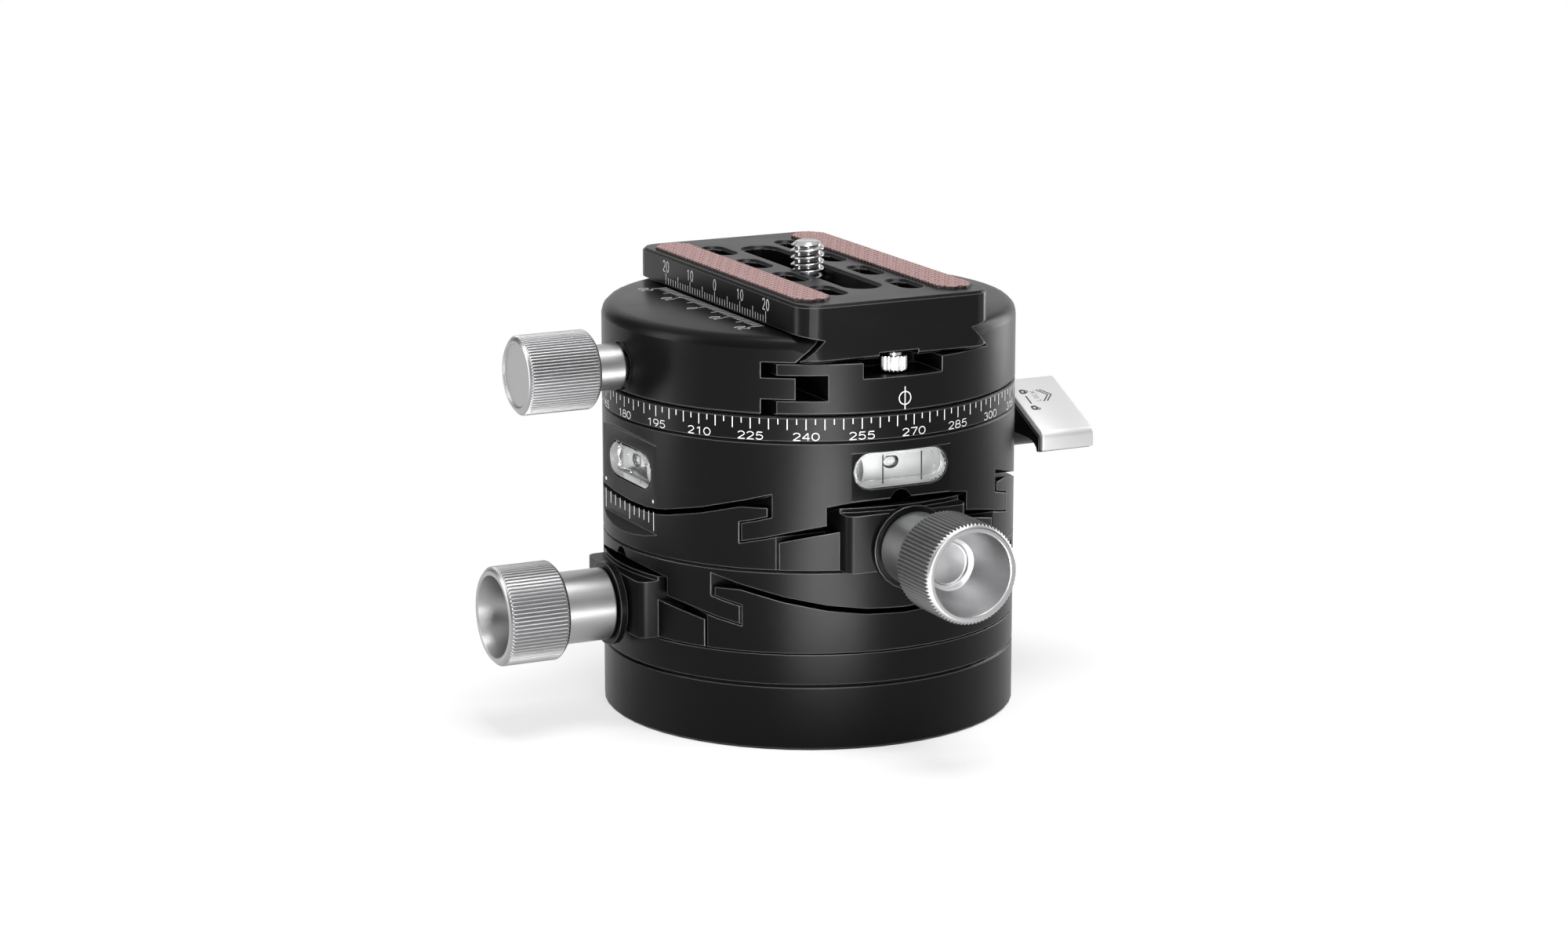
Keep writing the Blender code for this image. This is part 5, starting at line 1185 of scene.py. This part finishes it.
class HEAD_OT_pan_scale(bpy.types.Operator):
    """Draws the degree scale round the pan ring, and the mark on the clamp that reads it"""

    bl_idname = "head.pan_scale"
    bl_label = "Pan scale"

    def execute(self, context):
        rise, width = context.scene.head_sizes.mark_rise, context.scene.head_sizes.mark_width
        # the ring's zero stands 2.81 degrees round from +X
        zero = math.radians(2.81 - 360.0)
        degrees = np.arange(0, 360, 2.5)
        angle = np.radians(degrees) + zero
        out = np.stack([np.cos(angle), np.sin(angle), 0 * angle], 1)
        # every second line is long, and the figures stand below the lines
        length = np.where((np.arange(len(degrees)) % 2) == 0, 1.92 * MM, 0.98 * MM)
        upper = out * drum_radius + np.array([0, 0, ring_high - 0.35 * MM])
        lower = upper - np.array([[0, 0, 1.0]]) * length[:, None]
        shapes = [bars(upper, lower, width * 0.75, out, rise, rise * 0.5)]
        level = ring_low + 0.86 * MM
        for value in range(0, 360, 15):
            word = written(str(value), 1.3 * MM, 0.98)
            shapes.append(strokes_round(word, math.radians(value) + zero, level, width * 0.65, rise))
        painted("pan_scale_marks", "upper_stage", *shapes)
        # the index at the front: an upright line through a ring
        front, bottom, top, middle, radius = -math.pi / 2, 61.5 * MM, 65.57 * MM, 63.53 * MM, 1.15 * MM
        out = np.array([math.cos(front), math.sin(front), 0.0])
        foot = out * drum_radius
        line = bars(foot + [0, 0, bottom], foot + [0, 0, top], width * 0.8, out, rise, rise * 0.5)
        t = np.linspace(0, 2 * np.pi, 41)
        flat = radius * np.stack([np.cos(t), np.sin(t)], 1)
        ring = strokes_round((flat[:-1], flat[1:]), front, middle, width * 0.75, rise)
        painted("pan_index", "pan_clamp", line, ring)
        return {"FINISHED"}


class HEAD_OT_tilt_scales(bpy.types.Operator):
    """Draws the tilt scale and its two dots on the flat of each stage"""

    bl_idname = "head.tilt_scales"
    bl_label = "Tilt scales"

    def execute(self, context):
        rise, width = context.scene.head_sizes.mark_rise, context.scene.head_sizes.mark_width
        places = np.array([10.80, 8.63, 6.55, 4.47, 2.37, 0.31, -1.77, -3.92, -5.99, -8.08, -10.16]) * MM
        flat, axis, arc = -36.1 * MM, 87.6 * MM, 81.0 * MM
        x = np.full(len(places), flat)
        # the way's top edge is an arc about the tilt axis, and the marks hang from just below it
        top = axis - np.sqrt(arc**2 - places**2) + 0.35 * MM
        # the marks at both ends and in the middle are longer
        foot = np.where(np.isin(np.arange(len(places)), (0, 5, 10)), 4.1 * MM, 5.25 * MM)
        upper, lower = np.stack([x, places, top], 1), np.stack([x, places, foot], 1)
        ticks = bars(upper, lower, width, (-1.0, 0.0, 0.0), rise, rise)
        t = np.linspace(0, 2 * np.pi, 25)[:-1]
        dot = 0.34 * MM * np.stack([np.cos(t), np.sin(t)], 1)
        dot = extruded(dot, [(0.0, 0.0), (rise * 2, 0.0)])
        for prefix, level, quarter, carrier, mover in (
            ("upper", 33.1 * MM, 0.0, "lower_stage", "upper_stage"),
            ("lower", 17.95 * MM, -math.pi / 2, "base", "lower_stage"),
        ):
            turn = Matrix.Translation((0, 0, level)) @ Matrix.Rotation(quarter, 4, "Z")
            painted(prefix + "_tilt_marks", carrier, placed(ticks, turn), marks=False)
            dots = [placed(dot, turn @ toward("-X", (flat, y * MM, 9.5 * MM))) for y in (10.7, -10.0)]
            painted(prefix + "_tilt_dots", mover, *dots, marks=False)
        return {"FINISHED"}


class HEAD_OT_plate_scales(bpy.types.Operator):
    """Draws the sliding scale on the plate's side and its partner on top of the jaw"""

    bl_idname = "head.plate_scales"
    bl_label = "Plate scales"

    def execute(self, context):
        rise, width = context.scene.head_sizes.mark_rise, context.scene.head_sizes.mark_width
        count = np.arange(-20, 21)
        long_mark = count % 5 == 0
        side, tall, zero = float(plate_low[0]), 2.05 * MM, 0 * count
        # on the plate's side, upright; on the jaw's top, flat, its figures' heads outwards
        plate_foot = np.stack([side + zero, 0.05 * MM + count * 1.055 * MM, 75.7 * MM + zero], 1)
        plate_line = np.where(long_mark, tall, 1.2 * MM)
        jaw_foot = np.stack([side - 0.1 * MM + zero, count * 1.03 * MM, jaw_top + zero], 1)
        jaw_line = np.where(long_mark, 3.1, 1.9) * MM
        # each scale: its lines' feet and lengths, how far from its line's foot a figure stands, the
        # directions across and up a figure, of which the lines run along the second, and its height
        for name, body, foot, length, reach, across, up, height in (
            ("plate_scale", "plate", plate_foot, plate_line, tall + 1.2 * MM, (0, -1, 0), UP, 1.95 * MM),
            ("jaw_scale", "moving_jaw", jaw_foot, jaw_line, 4.4 * MM, (0, 1, 0), (-1.0, 0, 0), 2.0 * MM),
        ):
            along = np.array(up)
            stop, out = foot + along * length[:, None], np.cross(across, along)
            shapes = [bars(foot, stop, width * 0.75, out, rise, rise * 0.5)]
            for n in (-20, -10, 0, 10, 20):
                word, place = written(str(abs(n)), height, 0.5), foot[n + 20] + along * reach
                shapes.append(strokes_on(word, place, across, up, width * 0.8, rise))
            painted(name, body, *shapes)
        return {"FINISHED"}


class HEAD_OT_studio(bpy.types.Operator):
    """Sets the pale floor, the soft lights and the camera"""

    bl_idname = "head.studio"
    bl_label = "Studio"

    def aimed(self, item, place, direction):
        """Puts a lamp or the camera in its place and turns it to a direction."""
        item.location = Vector(place)
        item.rotation_mode = "QUATERNION"
        item.rotation_quaternion = direction.to_track_quat("-Z", "Y")

    def softbox(self, name, width, height, power):
        """One area light that the camera doesn't see."""
        lamp = bpy.data.lights.new(name, "AREA")
        lamp.shape = "RECTANGLE"
        lamp.size, lamp.size_y, lamp.energy = width, height, power
        item = bpy.data.objects.new(name, lamp)
        item.visible_camera = False
        bpy.context.scene.collection.objects.link(item)
        return item

    def seen(self, tree):
        """1 for rays that show the background: straight from the camera, mirrored or refracted."""
        path = node(tree, "LightPath").outputs
        shown = maths(tree, "MAXIMUM", path["Is Camera Ray"], path["Is Glossy Ray"])
        return maths(tree, "MAXIMUM", shown, path["Is Transmission Ray"])

    def backdrop(self, name, points, faces, surface):
        """A plain mesh of the stage; surface builds its shader in a tree."""
        mesh = bpy.data.meshes.new(name)
        mesh.from_pydata(points.tolist(), [], faces.tolist())
        material, tree, out = new_material(name)
        plug(tree, out, {"Surface": surface(tree)})
        mesh.materials.append(material)
        item = bpy.data.objects.new(name, mesh)
        bpy.context.scene.collection.objects.link(item)
        return item

    def floor_shader(self, tree):
        """White to the rays that show it, but for some matt shade near the head; matt to all others."""
        far = vectors(tree, "LENGTH", here(tree))
        near = ranged(tree, far, 0.08, 0.22, 0.4, 0.0, interpolation_type="SMOOTHSTEP")
        shade = bpy.context.scene.head_stage.floor
        matt = node(tree, "BsdfDiffuse", {"Color": (shade, shade, shade, 1.0)}).outputs[0]
        glow = node(tree, "Emission", {"Color": WHITE, "Strength": 1.0}).outputs[0]
        return blended(tree, self.seen(tree), matt, blended(tree, near, glow, matt))

    def wall_shader(self, tree):
        """Matt grey."""
        shade = bpy.context.scene.head_stage.wall
        return node(tree, "BsdfDiffuse", {"Color": (shade, shade, shade, 1.0)}).outputs[0]

    def execute(self, context):
        scene, stage = context.scene, context.scene.head_stage
        scene.view_settings.view_transform = "Standard"
        world = bpy.data.worlds.new("studio")
        world.use_nodes = True
        scene.world = world
        tree = world.node_tree
        tree.nodes.clear()
        even, white = (
            node(tree, "Background", {"Color": WHITE, "Strength": level}).outputs[0]
            for level in (stage.room, 1.0)
        )
        plug(tree, node(tree, "OutputWorld"), {"Surface": blended(tree, self.seen(tree), even, white)})

        side = 4.0
        corners = np.array([[-side, -side, 0], [side, -side, 0], [side, side, 0], [-side, side, 0]])
        self.backdrop("floor", corners, np.array([[0, 1, 2, 3]]), self.floor_shader)
        # grey walls, open behind the head, give the finishes something dark to mirror
        turn = np.radians(96 + np.linspace(0, 296, 49))
        ring = np.stack([1.5 * np.cos(turn), 1.5 * np.sin(turn), 0 * turn], 1)
        points = np.concatenate([ring + [0, 0, 0.02], ring + [0, 0, 1.15]])
        faces = grid_faces(2, 49, wrap=False)[:, ::-1]
        wall = self.backdrop("studio_wall", points, faces, self.wall_shader)
        wall.visible_camera = wall.visible_shadow = wall.visible_diffuse = False

        # tall strips stand round the head, and one lies on the floor, where the upright walls look down to
        middle, strip = 0.13, (-0.0826, -0.257)
        for name, (x, y), width, power in (
            ("key", (-0.083, -0.257), 0.06, stage.key),
            ("left_strip", (-0.257, 0.085), 0.045, 1.2 * stage.key),
            ("right_strip", (0.33, 0.06), 0.12, 1.8 * stage.key),
        ):
            item = self.softbox(name, width, 2 * middle - 0.01, power)
            self.aimed(item, (x, y, middle), Vector((0.0, 0.0, middle)) - Vector((x, y, middle)))
        item = self.softbox("low_strip", 0.075, 0.34, stage.low_strip)
        turn = Matrix.Rotation(math.atan2(strip[1], strip[0]) - math.pi / 2, 4, "Z")
        item.rotation_mode = "QUATERNION"
        item.matrix_world = Matrix.Translation((*strip, 0.002)) @ turn @ Matrix.Rotation(math.pi, 4, "Y")
        place = (0.0, -0.15, 0.75)
        item = self.softbox("top", 0.36, 0.3, stage.top)
        self.aimed(item, place, Vector((0.0, 0.0, 0.045)) - Vector(place))

        turn, rise = math.radians(-26.256), math.radians(13.018)
        back = Vector((math.sin(turn) * math.cos(rise), -math.cos(turn) * math.cos(rise), math.sin(rise)))
        lens = bpy.data.cameras.new("camera")
        lens.sensor_width = 36.0
        # the focal length in pixels of the photograph, which is 2000 wide
        lens.lens = 5309.70 / 2000 * 36.0
        lens.clip_start, lens.clip_end = 0.01, 20.0
        camera = bpy.data.objects.new("camera", lens)
        self.aimed(camera, (-0.335985, -0.670978, 0.216027), -back)
        scene.collection.objects.link(camera)
        scene.camera = camera
        return {"FINISHED"}


class HEAD_PT_panel(bpy.types.Panel):
    """The head's pieces and settings in the sidebar"""

    bl_idname = "HEAD_PT_panel"
    bl_label = "Geared Head"
    bl_space_type = "VIEW_3D"
    bl_region_type = "UI"
    bl_category = "Geared Head"

    def draw(self, context):
        column = self.layout.column()
        for item in STEPS:
            column.operator(item.bl_idname)
        for group in GROUPS:
            box = column.box()
            for name in GROUPS[group].__annotations__:
                box.prop(getattr(context.scene, group), name)


STEPS = (
    HEAD_OT_machined_bodies,
    HEAD_OT_worm_knobs,
    HEAD_OT_set_screws,
    HEAD_OT_clamp_knob,
    HEAD_OT_camera_screw,
    HEAD_OT_stop_screws,
    HEAD_OT_plate,
    HEAD_OT_grip_pads,
    HEAD_OT_vials,
    HEAD_OT_lock_lever,
    HEAD_OT_pan_scale,
    HEAD_OT_tilt_scales,
    HEAD_OT_plate_scales,
    HEAD_OT_studio,
)
GROUPS = {"head_finishes": HeadFinishes, "head_sizes": HeadSizes, "head_stage": HeadStage}
CLASSES = (*GROUPS.values(), *STEPS, HEAD_PT_panel)


def register():
    """Registers the settings, the operators and the panel."""
    for item in CLASSES:
        bpy.utils.register_class(item)
    for name, group in GROUPS.items():
        setattr(bpy.types.Scene, name, bpy.props.PointerProperty(type=group))


def unregister():
    """Removes what register added."""
    for name in GROUPS:
        delattr(bpy.types.Scene, name)
    for item in reversed(CLASSES):
        bpy.utils.unregister_class(item)


def main():
    """Makes every piece in order."""
    register()
    for item in STEPS:
        group, name = item.bl_idname.split(".")
        getattr(getattr(bpy.ops, group), name)()
    bpy.context.view_layer.update()


if __name__ == "__main__":
    main()
